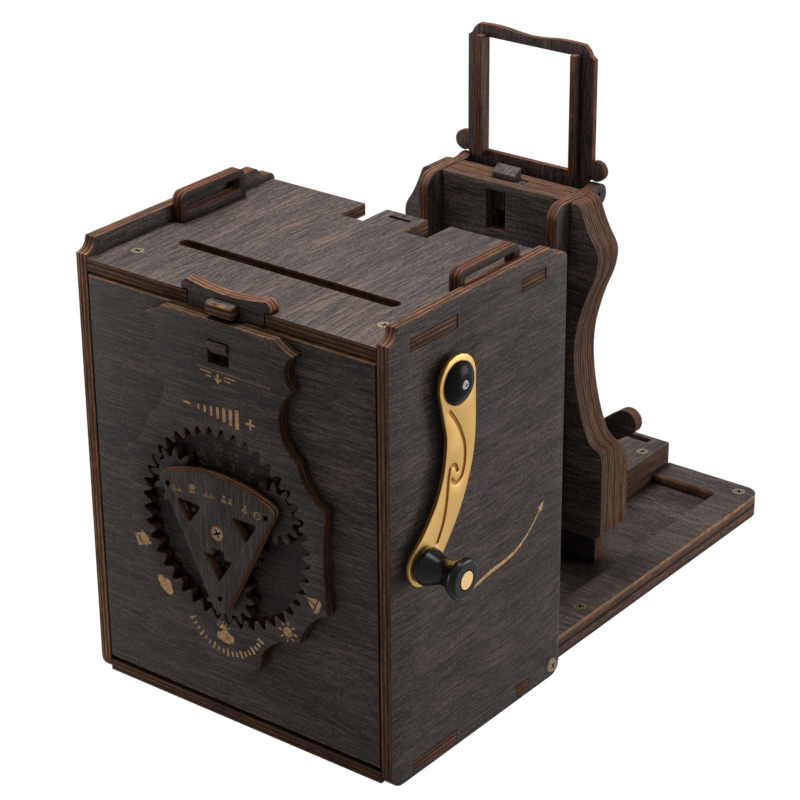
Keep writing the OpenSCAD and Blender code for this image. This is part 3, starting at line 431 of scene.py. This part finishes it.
def bareWood(name):
    material, finish = newFinish(name)
    place = finish.place()
    dark, pale = woodLook[name]
    fine = finish.noise(place, (1.1, 1.1, 2.6), 4, 0.65)
    patch = finish.noise(place, (0.5, 0.5, 0.5), 3, 0.6)
    finish.set({
        "Base Color": finish.ramp(fine * 0.7 + patch * 0.5 - 0.1, [(0.34, dark), (0.56, pale)]),
        "Roughness": 0.85, "Specular IOR Level": 0.2, "Normal": finish.bump(fine, 0.03)})
    return material


gold, armGold, brass, seated, zinc = (metal(name) for name in metalLook)
black, capBlack = (turnedBlack(name) for name in blackLook["shine"])
rubber, cloth = rollerRubber(), bellowsCloth()
engraved, softEngraved, shadedEngraved = (bareWood(name) for name in woodLook)
print("finishes made:", len(bpy.data.materials))

# Each plate: the axis through the sheet, then the axis of its grain
plateGrain = {
    "left_side_plate": "xy", "right_side_plate": "xy", "strap_lugs": "xy", "film_guides": "xz",
    "roller_cheeks": "xz", "standard_flanges": "xz", "finder_walls": "xz",
    "top_plate": "zy", "floor_plate": "zy", "bed_base": "zx", "bed_top": "zx", "bed_rail": "zy",
    "top_cleats": "zx", "door_grip": "zx", "release_slider": "zx",
    "film_gate": "yx", "bellows_rear_frame": "yx", "bellows_front_frame": "yx", "door_panel": "yx",
    "door_face": "yx", "door_tab": "yx", "door_backing": "yx", "dial_carrier": "yz",
    "planet_gear_a": "yx", "planet_gear_b": "yx", "planet_gear_c": "yx", "sun_gear": "yx",
    "standard_back": "yx", "standard_core": "yx", "standard_middle": "yx", "standard_front": "yx",
    "lens_board": "yz", "finder_frame": "yz", "shutter_slide": "yz", "shutter_lever": "yx",
}
plateTone = {"stained_ply": 1.0, "inner_ply": plyLook["inner"], "gear_ply": plyLook["gear"]}
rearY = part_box("left_side_plate")[0].y / mm
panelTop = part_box("door_panel")[1].z / mm
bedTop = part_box("bed_top")[1].z / mm
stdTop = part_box("standard_back")[1].z / mm
warm = (1.15, 0.98, 0.9)
greyEdge = (0.100, 0.056, 0.041)
thinSheet = 1.6                               # mm, the finder's sheets
bedEdge = {"plain": 0.85, "wear": 0.1, "seam": 0.22, "mean": greyEdge, "edge": 1.15}

# What sets a plate apart: gains of its faces and cut edges, wear, and the strips of painted light, painted
# shade and painted highlight that plywood() names
ownLook = {
    # the rear edge of the left plate is lighter by painted light
    "left_side_plate": {"wear": 1.8, "band": (1, rearY + 1.0, rearY + 0.3, 1.9)},
    "right_side_plate": {"wear": 1.3},
    "top_plate": {"wear": 0.9, "edge": 0.8, "faded": 0.55},
    "floor_plate": {"edge": 1.5},
    "strap_lugs": {"face": 0.42, "edge": 0.75, "tint": warm},
    "bed_base": {"face": 0.8, **bedEdge},
    # the bed top: a worn strip with painted highlight along its upper cut edge
    "bed_top": {"face": 0.9, **bedEdge, "rub": (2, bedTop - 1.5, bedTop - 0.2, 0.0)},
    "bed_rail": {"face": 0.85, "plain": 0.65, "edge": 0.6},
    # the door panel: painted shade in the dial's pit, and along its top edge a worn strip with painted
    # highlight
    "door_panel": {"wear": 1.5, "soot": (dialAt.z / mm, 21.5, 0.5),
                   "rub": (2, panelTop - 0.55, panelTop - 0.25, 1.0)},
    # the door face's cut edges are darker by painted shade, for the deep shade of the dial's pit
    "door_face": {"edge": 0.6},
    "door_tab": {"wear": 1.5, "face": 0.85, "edge": 1.3},
    "door_grip": {"edge": 0.75},
    "release_slider": {"cut": 0.15, "face": 1.5, "wear": 0.0},
    "dial_carrier": {"tone": 0.82, "edge": 2.0},
    "standard_back": {"face": 1.22, "plain": 0.6, "wear": 0.2, "mean": greyEdge, "edge": 0.85},
    "standard_core": {"plain": 0.6, "wear": 0.0},
    "standard_middle": {"plain": 0.6, "wear": 0.2},
    "standard_front": {"plain": 0.6, "wear": 0.2},
    "standard_flanges": {"face": 0.75, "plain": 0.3},
    # the slide is lighter by painted light below the standard's top, inside the window
    "shutter_slide": {"cut": 0.0, "face": 1.15, "wear": 0.0, "band": (2, stdTop - 1.0, stdTop - 2.0, 2.0)},
    "shutter_lever": {"plain": 0.6},
    "finder_frame": {"sheet": thinSheet, "tint": warm, "plain": 0.5},
    "finder_walls": {"sheet": thinSheet, "tint": warm},
}
easing = {"ply": 0.16, "gear": 0.10, "metal": 0.12,    # mm
          "bend": 25, "smooth": 28,           # degrees: edges that are eased, edges that stay sharp
          "weld": 0.002, "flat": 0.4}         # mm and degrees: triangles joined into one face


def addObject(name, data):
    made = bpy.data.objects.new(name, data)
    bpy.context.scene.collection.objects.link(made)
    return made


def dressMesh(mesh, sharp, material):
    mesh.polygons.foreach_set("use_smooth", [True] * len(mesh.polygons))
    mesh.set_sharp_from_angle(angle=math.radians(sharp))
    mesh.materials.append(material)


# A copy of a node with its edges eased
def easedCopy(node, width, material):
    mesh = bpy.data.meshes.new(node + "_eased")
    shape = bmesh.new()
    shape.from_mesh(nodes[node].data)
    bmesh.ops.remove_doubles(shape, verts=shape.verts, dist=easing["weld"] * mm)
    bmesh.ops.dissolve_limit(shape, angle_limit=math.radians(easing["flat"]), verts=shape.verts,
                             edges=shape.edges)
    bend = math.radians(easing["bend"])
    rims = [e for e in shape.edges if len(e.link_faces) == 2 and e.calc_face_angle(0) > bend]
    bmesh.ops.bevel(shape, geom=rims, offset=width * mm, offset_type="OFFSET", segments=2, profile=0.5,
                    affect="EDGES", clamp_overlap=True)
    bmesh.ops.triangulate(shape, faces=[f for f in shape.faces if len(f.verts) > 4])
    shape.to_mesh(mesh)
    shape.free()
    dressMesh(mesh, easing["smooth"], material)
    piece = addObject(node + "_eased", mesh)
    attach(piece, bodyOf[node])
    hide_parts(node)


for node, axes in plateGrain.items():
    through, along = ("xyz".index(letter) for letter in axes)
    low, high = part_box(node)
    look = {"tone": plateTone[slotOf[node]], **ownLook.get(node, {})}
    start = high[0] / mm - look.get("sheet", plyLook["sheet"]) if through == 0 else low[through] / mm
    wood = plywood(through, along, start, look)
    easedCopy(node, easing["gear"] if slotOf[node] == "gear_ply" else easing["ply"], wood)
easedCopy("crank_arm", easing["metal"], armGold)
print("plates eased:", len(plateGrain))

# The turned and bought pieces keep their own shape
slotFinish = {"gold_metal": gold, "brass_hardware": brass, "steel_hardware": zinc, "black_gloss": black,
              "roller_rubber": rubber}
# the finder's pivot pins are black as painted shade, standing for the dark holes of their eyes
ownFinish = {"finder_pivots": black, "dial_screw": seated, "crank_cap": capBlack}
for node, piece in nodes.items():
    if slotOf[node] in slotFinish and not piece.hide_render:
        piece.data.materials.clear()
        piece.data.materials.append(ownFinish.get(node, slotFinish[slotOf[node]]))
print("hardware finished")


# The release spring between the door and the slider: a copy of its part, baked where it stands
def makeSpring():
    piece = addObject("release_spring_bent", nodes["release_spring"].data.copy())
    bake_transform(piece)
    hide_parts("release_spring")


makeSpring()

# Bellows: pleated cloth between the two frames, in mm
bellowsLook = {
    "pleats": 13, "deep": 3.2, "corner": 3.0, "wall": 0.45, "front": (15.0, 20.0), "sharp": 50,
    # one pleat, with a soft crest and a soft valley: share of its length, share of its depth
    "pleat": [(0.0, 0.0), (0.07, 0.12), (0.43, 0.88), (0.5, 1.0), (0.57, 0.88), (0.93, 0.12)],
    "arcSteps": 3,
}


def foldRing(share, deep, half, middle):
    front = bellowsLook["front"]
    width = half[0] * (1 - share) + front[0] * mm * share - deep * mm
    tall = half[1] * (1 - share) + front[1] * mm * share - deep * mm
    corner = bellowsLook["corner"] * mm
    steps = bellowsLook["arcSteps"]
    ring = []
    for turn in range(4):
        cx = (width - corner) * (1 if turn in (0, 3) else -1)
        cz = (tall - corner) * (1 if turn in (0, 1) else -1)
        for step in range(steps + 1):
            a = (turn + step / steps) * math.pi / 2
            ring.append((cx + corner * math.cos(a), cz + corner * math.sin(a) + middle))
    return ring


def makeBellows():
    low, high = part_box("bellows")
    half = ((high.x - low.x) / 2, (high.z - low.z) / 2)
    middle = (high.z + low.z) / 2
    profile = [((pleat + place) / bellowsLook["pleats"], deep * bellowsLook["deep"])
               for pleat in range(bellowsLook["pleats"]) for place, deep in bellowsLook["pleat"]]
    profile.append((1.0, 0.0))
    shape = bmesh.new()
    skins = []
    for off in (0.0, bellowsLook["wall"]):
        skins.append([[shape.verts.new((x, low.y + (high.y - low.y) * share, z))
                       for x, z in foldRing(share, deep + off, half, middle)] for share, deep in profile])
    count = len(skins[0][0])
    strips = [pair for skin in skins for pair in zip(skin, skin[1:])]
    strips += [(skins[0][end], skins[1][end]) for end in (0, -1)]     # the cut ends of the cloth
    for before, after in strips:
        for k in range(count):
            n = (k + 1) % count
            shape.faces.new((before[k], before[n], after[n], after[k]))
    bmesh.ops.recalc_face_normals(shape, faces=shape.faces)
    mesh = bpy.data.meshes.new("bellows_folds")
    shape.to_mesh(mesh)
    shape.free()
    dressMesh(mesh, bellowsLook["sharp"], cloth)
    piece = addObject("bellows_folds", mesh)
    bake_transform(piece)
    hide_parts("bellows")


makeBellows()
print("bellows folded")

# Engraved marks: flat shapes in mm, drawn in the plane of the plate that carries them
markLook = {"proud": 0.025, "sunk": 0.02}


def addArea(shape, outline):
    top = [shape.verts.new((u, v, markLook["proud"])) for u, v in outline]
    base = [shape.verts.new((u, v, -markLook["sunk"])) for u, v in outline]
    shape.faces.new(top)
    shape.faces.new(base[::-1])
    for k in range(len(top)):
        n = (k + 1) % len(top)
        shape.faces.new((top[k], base[k], base[n], top[n]))


# A stroke through the points; its width is one value or one value for each point
def addLine(shape, points, width, closed=False):
    points = [Vector(p) for p in points]
    count = len(points)
    proud, sunk = markLook["proud"], -markLook["sunk"]
    sides = []
    for k, point in enumerate(points):
        before = points[k - 1] if k or closed else point
        after = points[(k + 1) % count] if k < count - 1 or closed else point
        way = (after - before).normalized()
        wide = width[k] if isinstance(width, list) else width
        aside = Vector((-way.y, way.x)) * wide / 2
        sides.append([shape.verts.new((*(point + aside * s), w))
                      for s, w in ((1, proud), (-1, proud), (-1, sunk), (1, sunk))])
    pairs = list(zip(sides, sides[1:])) + ([(sides[-1], sides[0])] if closed else [])
    for a, b in pairs:
        for k in range(4):
            n = (k + 1) % 4
            shape.faces.new((a[k], b[k], b[n], a[n]))
    if not closed:
        shape.faces.new(sides[0])
        shape.faces.new(sides[-1][::-1])


def addRay(shape, degrees, reach, width, cx=0.0, cy=0.0):
    a = math.radians(degrees)
    addLine(shape, [(cx + math.cos(a) * r, cy + math.sin(a) * r) for r in reach], width)


def sized(points, size):
    return [(u * size, v * size) for u, v in points]


def arc(cx, cy, radius, start, end, count):
    angles = [math.radians(start + (end - start) * k / count) for k in range(count + 1)]
    return [(cx + radius * math.cos(a), cy + radius * math.sin(a)) for a in angles]


def disc(cx, cy, radius, count=20):
    return arc(cx, cy, radius, 0, 360 - 360 / count, count - 1)


# Outline of several discs together, seen from the middle
def puffs(discs, count=44):
    outline = []
    for k in range(count):
        angle = 2 * math.pi * k / count
        ux, uy = math.cos(angle), math.sin(angle)
        reach = 0.2
        for cx, cy, radius in discs:
            along = cx * ux + cy * uy
            left = radius ** 2 - (cx * cx + cy * cy - along * along)
            if left > 0:
                reach = max(reach, along + math.sqrt(left))
        outline.append((ux * reach, uy * reach))
    return outline


cloudDiscs = [(-1.5, -0.5, 1.0), (0, 0, 1.35), (1.3, -0.45, 1.05), (-0.4, -0.75, 1.1), (0.6, -0.8, 1.0)]


def drawHouse(shape, size):
    addLine(shape, sized([(-1.35, -1.5), (1.35, -1.5), (1.35, 0.2), (-1.35, 0.2)], size), 1.25 * size, True)
    addArea(shape, sized([(-2.5, 0.75), (2.5, 0.75), (0, 2.6)], size))
    addArea(shape, sized([(1.0, 1.9), (1.7, 1.38), (1.7, 2.7), (1.0, 2.7)], size))


def drawCloud(shape, size):
    addArea(shape, sized(puffs(cloudDiscs), size))


def drawSun(shape, radius):
    rays = 8
    addArea(shape, disc(0, 0, radius))
    for k in range(rays):
        addRay(shape, 360 * k / rays, (1.7, 2.6), 0.4)


def drawSunCloud(shape):
    addArea(shape, [(u + 0.2, v - 0.8) for u, v in sized(puffs(cloudDiscs), 1.05)])
    addArea(shape, arc(-0.5, 0.75, 1.05, -5, 185, 12))
    for degrees in range(20, 161, 35):
        addRay(shape, degrees, (1.4, 2.05), 0.32, -0.5, 0.75)


def drawBoat(shape, size):
    for outline in ([(-2.2, -1.0), (-1.4, -2.1), (1.4, -2.1), (2.3, -1.0)],
                    [(0.15, -0.6), (1.9, -0.6), (0.15, 2.5)], [(-0.25, -0.6), (-0.25, 1.7), (-1.6, -0.6)]):
        addArea(shape, sized(outline, size))


def drawHills(shape):
    addArea(shape, [(-1.6, -0.9), (0.3, -0.9), (-0.65, 0.9)])
    addArea(shape, [(0.4, -0.9), (1.7, -0.9), (1.0, 0.2)])


def drawWaves(shape):
    addLine(shape, [(-1.7, -0.7), (1.7, -0.7)], 0.4)
    addArea(shape, [(-1.0, -0.35), (-0.2, -0.35), (-0.6, 0.7)])
    addArea(shape, [(0.4, -0.35), (1.0, -0.35), (0.7, 0.35)])


def drawPerson(shape, size=1.0, aside=0.0):
    coat = [(-0.85, -1.0), (0.85, -1.0), (0.7, -0.3), (0.3, 0.0), (-0.3, 0.0), (-0.7, -0.3)]
    addArea(shape, disc(aside, 0.55 * size, 0.45 * size, 12))
    addArea(shape, [(aside + u, v) for u, v in sized(coat, size)])


def drawGroup(shape):
    drawPerson(shape, 0.95, -0.95)
    drawPerson(shape, 0.75, 0.85)


def drawHead(shape):
    addLine(shape, disc(0, 0, 0.85, 18), 0.35, True)
    for side in (-1, 1):
        addArea(shape, disc(side * 0.28, 0.12, 0.17, 8))


def drawDownArrow(shape):
    addLine(shape, [(0, 1.1), (0, -0.2)], 0.6)
    addArea(shape, [(-1.05, -0.05), (0, -1.25), (1.05, -0.05)])
    for side in (-1, 1):
        for v, reach in ((0.9, 5.0), (0.0, 3.6)):
            addLine(shape, [(side * 1.9, v), (side * reach, v)], 0.3)


# A scale from less to more: minus, growing bars, plus
def drawMoreLess(shape):
    stroke = 0.55
    addLine(shape, [(-10.2, 0), (-7.9, 0)], stroke)
    for k in range(7):
        u = -5.6 + 1.85 * k
        half = 0.55 + 0.28 * k
        addLine(shape, [(u, -half), (u, half)], 0.5 + 0.09 * k)
    addLine(shape, [(8.0, 0), (10.6, 0)], stroke)
    for low, high in ((-1.3, -0.28), (0.28, 1.3)):
        addLine(shape, [(9.3, low), (9.3, high)], stroke)


# Ticks that grow from dim to bright, round the middle light mark
def drawLightArc(shape):
    count = 18
    for k in range(count + 1):
        reach = (10.5, 12.4) if k % 3 == 0 else (10.9, 12.1)
        addRay(shape, -150 + 124 * k / count, reach, 0.42 + 0.014 * k)


# A sweeping arrow beside the knob shows the way that the crank turns
def drawSweep(shape):
    count, long, head, wing = 40, 27.0, 2.0, 0.95
    points, widths = [], []
    for k in range(count + 1):
        t = k / count
        points.append(((t - 0.5) * long, -4.6 + 2.2 * t + 7.4 * t ** 3 + 0.8 * math.sin(t * math.pi * 2)))
        widths.append(0.35 + 0.75 * math.sin(math.pi * min(1, t * 1.12)) ** 0.7 * (1 - 0.5 * t))
    addLine(shape, points, widths)
    tip = Vector(points[-1])
    way = (tip - Vector(points[-3])).normalized()
    aside = Vector((-way.y, way.x)) * wing
    foot = tip - way * 0.25
    addArea(shape, [tuple(tip + way * head), tuple(foot + aside), tuple(foot - aside)])


# Single strokes of the digits in use, one high and about 0.6 wide
digitLines = {
    "0": [(0.3, 1), (0.52, 0.85), (0.6, 0.5), (0.52, 0.15), (0.3, 0), (0.08, 0.15), (0, 0.5), (0.08, 0.85),
          (0.3, 1)],
    "1": [(0.1, 0.8), (0.32, 1), (0.32, 0)],
    "2": [(0.02, 0.78), (0.12, 0.94), (0.3, 1), (0.5, 0.92), (0.57, 0.74), (0.48, 0.55), (0, 0), (0.6, 0)],
    "3": [(0.03, 0.88), (0.28, 1), (0.52, 0.88), (0.5, 0.62), (0.26, 0.54), (0.52, 0.44), (0.57, 0.18),
          (0.3, 0), (0.02, 0.12)],
    "4": [(0.45, 0), (0.45, 1), (0, 0.3), (0.62, 0.3)],
    "5": [(0.55, 1), (0.1, 1), (0.05, 0.56), (0.3, 0.63), (0.54, 0.5), (0.58, 0.27), (0.48, 0.07), (0.26, 0),
          (0.02, 0.1)],
    "6": [(0.5, 0.95), (0.22, 0.82), (0.05, 0.45), (0.06, 0.18), (0.3, 0), (0.54, 0.14), (0.56, 0.36),
          (0.32, 0.52), (0.08, 0.36)],
    "8": [(0.3, 1), (0.53, 0.86), (0.48, 0.62), (0.08, 0.38), (0.04, 0.14), (0.3, 0), (0.56, 0.14),
          (0.52, 0.38), (0.12, 0.62), (0.07, 0.86), (0.3, 1)],
}


def drawNumber(shape, text, tall):
    wide = 0.85 * tall
    for k, digit in enumerate(text):
        left = (k - len(text) / 2) * wide
        line = [(u * tall + left, (v - 0.5) * tall) for u, v in digitLines[digit]]
        addLine(shape, line, 0.17 * tall)


# The plane of a plate, with u to the right and v up for someone who looks at it
def plane(origin, right, up, turn=0.0):
    right, up = Vector(right), Vector(up)
    grid = Matrix.Identity(4)
    for k, axis in enumerate((right, up, right.cross(up))):
        grid.col[k][:3] = axis * mm
    grid.translation = Vector(origin)
    return grid @ Matrix.Rotation(math.radians(turn), 4, "Z")


def engrave(name, where, body, draw, *values, finish=engraved):
    shape = bmesh.new()
    draw(shape, *values)
    bmesh.ops.recalc_face_normals(shape, faces=shape.faces)
    mesh = bpy.data.meshes.new(name)
    shape.to_mesh(mesh)
    shape.free()
    mesh.transform(where)
    mesh.materials.append(finish)
    piece = addObject(name, mesh)
    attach(piece, body)


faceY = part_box("door_face")[0].y
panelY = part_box("door_panel")[0].y
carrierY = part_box("dial_carrier")[0].y
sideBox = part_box("right_side_plate")


def onDoor(y, u, v, turn=0.0):                # mm from the dial's middle
    return plane((u * mm, y, dialAt.z + v * mm), (1, 0, 0), (0, 0, 1), turn)


def outward(u, v):                            # turn that points a mark's top away from the dial's middle
    return math.degrees(math.atan2(v, u)) - 90


lightMarks = {                                # their tops point at the dial's middle
    "house_mark": (-25.5, -10.45, drawHouse, 0.9), "cloud_mark": (-18.5, -20.0, drawCloud, 1.1),
    "sun_mark": (17.5, -20.1, drawSun, 1.25), "boat_mark": (25.0, -10.4, drawBoat, 0.95),
}
for name, (u, v, draw, size) in lightMarks.items():
    engrave(name, onDoor(faceY, u, v, outward(-u, -v)), "back_door", draw, size)

faceMarks = {
    "sun_cloud_mark": (-1.2, -26.7, 0.0, drawSunCloud), "down_arrow_mark": (-0.3, 36.6, -1.0, drawDownArrow),
    "more_less_mark": (-0.7, 28.3, -1.0, drawMoreLess), "light_arc_mark": (-0.9, -20.3, 0.0, drawLightArc),
}
for name, (u, v, turn, draw) in faceMarks.items():
    engrave(name, onDoor(faceY, u, v, turn), "back_door", draw)
engrave("face_line_mark", onDoor(faceY, 0, 38.4), "back_door", addLine, [(-6.3, 0), (14.7, -0.2)], 0.09)

subjectMarks = {
    "hills_mark": (-11.8, 8.0, 12, drawHills), "small_house_mark": (-6.9, 9.0, 7, drawHouse, 0.5),
    "waves_mark": (-2.05, 9.3, 2, drawWaves), "group_mark": (3.4, 9.3, -3, drawGroup),
    "person_mark": (8.4, 8.8, -8, drawPerson), "head_mark": (11.9, 8.2, -11, drawHead),
}
for name, (u, v, turn, draw, *size) in subjectMarks.items():
    engrave(name, onDoor(carrierY, u, v, turn), "dial", draw, *size, finish=softEngraved)

timeTall = 1.7                                # mm
timeMarks = [("60", -8.8, 15.2), ("30", -3.6, 18.0), ("15", 1.1, 16.9), ("8", 6.2, 15.3), ("4", 10.0, 12.4),
             ("12", -7.9, 13.2), ("6", -3.8, 14.3), ("3", 0.6, 14.2), ("2", 5.3, 13.0), ("1", 15.5, 0.0)]
# the numbers on the door panel lie in the pit and take the finish with painted shade
for k, (text, u, v) in enumerate(timeMarks):
    engrave("time_mark_%d" % k, onDoor(panelY, u, v, outward(u, v)), "back_door", drawNumber, text, timeTall,
            finish=shadedEngraved)

sweepAt = (sideBox[1].x, sideBox[0].y + 42.5 * mm, sideBox[0].z + 42.5 * mm)
engrave("turn_arrow_mark", plane(sweepAt, (0, 1, 0), (0, 0, 1)), "camera_box", drawSweep)
print("marks engraved")

# Studio: pale floor, soft light, white background
studioLook = {"fill": 0.30, "mirror": 0.53, "floorGrey": 0.3, "floorGlow": 0.95, "floorMirror": 0.53,
              "floorWhite": 1.05, "floorReach": 6.0}
lamps = {                                     # metres and watts
    "top": {"at": (-0.16, -0.01, 0.6), "aim": (0.0, -0.06, 0.08), "size": 0.25, "power": 3.7},
    "crown": {"at": (0.16, -0.01, 0.6), "aim": (0.0, -0.06, 0.08), "size": 0.25, "power": 1.0},
    "left": {"at": (-0.34, -0.235, 0.06), "aim": (-0.03, -0.11, 0.05), "size": 0.16, "power": 0.26},
    "front": {"at": (0.45, 0.35, 0.15), "aim": (0.04, -0.05, 0.05), "size": 0.35, "power": 1.85},
}


def rayShare(finish, kind):
    return finish.node("ShaderNodeLightPath", out="Is %s Ray" % kind)


def seenShare(finish):                        # rays that see the background itself
    return rayShare(finish, "Camera").math("MAXIMUM", rayShare(finish, "Transmission"))


def makeSky():
    world = bpy.data.worlds.new("studio")
    bpy.context.scene.world = world
    sky = Finish(world, "Background")
    around = sky.mix(rayShare(sky, "Glossy"), (studioLook["fill"],) * 3, (studioLook["mirror"],) * 3)
    sky.set({"Color": sky.mix(seenShare(sky), around, (1, 1, 1)), "Strength": 1.0})


def makeFloor():
    material, finish = newFinish("pale_floor")
    finish.set({"Base Color": (studioLook["floorGrey"],) * 3, "Roughness": 0.9, "Specular IOR Level": 0.0})
    glow = finish.node("ShaderNodeEmission", {}, {"Color": (1, 1, 1), "Strength": studioLook["floorWhite"]})
    lit = Wire(finish, finish.shader.outputs[0])
    share = seenShare(finish) * studioLook["floorGlow"]
    share = share + rayShare(finish, "Glossy") * studioLook["floorMirror"]
    both = finish.node("ShaderNodeMixShader", {}, {0: share, 1: lit, 2: glow})
    finish.plug(finish.tree.nodes["Material Output"].inputs["Surface"], both)
    reach, level = studioLook["floorReach"], cadBox[0].z - 0.05 * mm
    corners = [(x * reach, y * reach, level) for x, y in ((-1, -1), (1, -1), (1, 1), (-1, 1))]
    mesh = bpy.data.meshes.new("floor")
    mesh.from_pydata(corners, [], [(0, 1, 2, 3)])
    mesh.materials.append(material)
    addObject("floor", mesh)


def makeLamp(name, look):
    lamp = bpy.data.lights.new(name, "AREA")
    lamp.shape, lamp.size, lamp.energy = "DISK", look["size"], look["power"]
    holder = addObject(name, lamp)
    holder.location = look["at"]
    way = Vector(look["aim"]) - Vector(look["at"])
    holder.rotation_euler = way.to_track_quat("-Z", "Y").to_euler()


makeSky()
makeFloor()
for name, look in lamps.items():
    makeLamp(name, look)

# Camera: degrees, and mm from the middle of the box's rear foot
cameraLook = {"azimuth": 37.788, "elevation": 25.133, "roll": 0.441, "lens": 115.92, "aside": 36.596,
              "above": 75.797, "away": 595.394}


def makeCamera():
    azimuth, elevation, roll = (math.radians(cameraLook[name]) for name in ("azimuth", "elevation", "roll"))
    flat = math.cos(elevation)
    back = Vector((math.sin(azimuth) * flat, -math.cos(azimuth) * flat, math.sin(elevation)))
    level = Vector((0, 0, 1)).cross(back).normalized()
    rise = back.cross(level)
    right = level * math.cos(roll) - rise * math.sin(roll)
    up = level * math.sin(roll) + rise * math.cos(roll)
    spot = (right * cameraLook["aside"] + up * cameraLook["above"] + back * cameraLook["away"]) * mm
    grid = Matrix.Identity(4)
    for k, axis in enumerate((right, up, back)):
        grid.col[k][:3] = axis
    grid.translation = spot + Vector((0, sideBox[0].y, sideBox[0].z))
    data = bpy.data.cameras.new("camera")
    data.lens, data.sensor_width = cameraLook["lens"], 36.0
    data.clip_start, data.clip_end = 0.01, 20.0
    camera = addObject("camera", data)
    camera.matrix_world = grid
    bpy.context.scene.camera = camera


makeCamera()
bpy.context.scene.view_settings.view_transform = "Standard"
print("studio set")
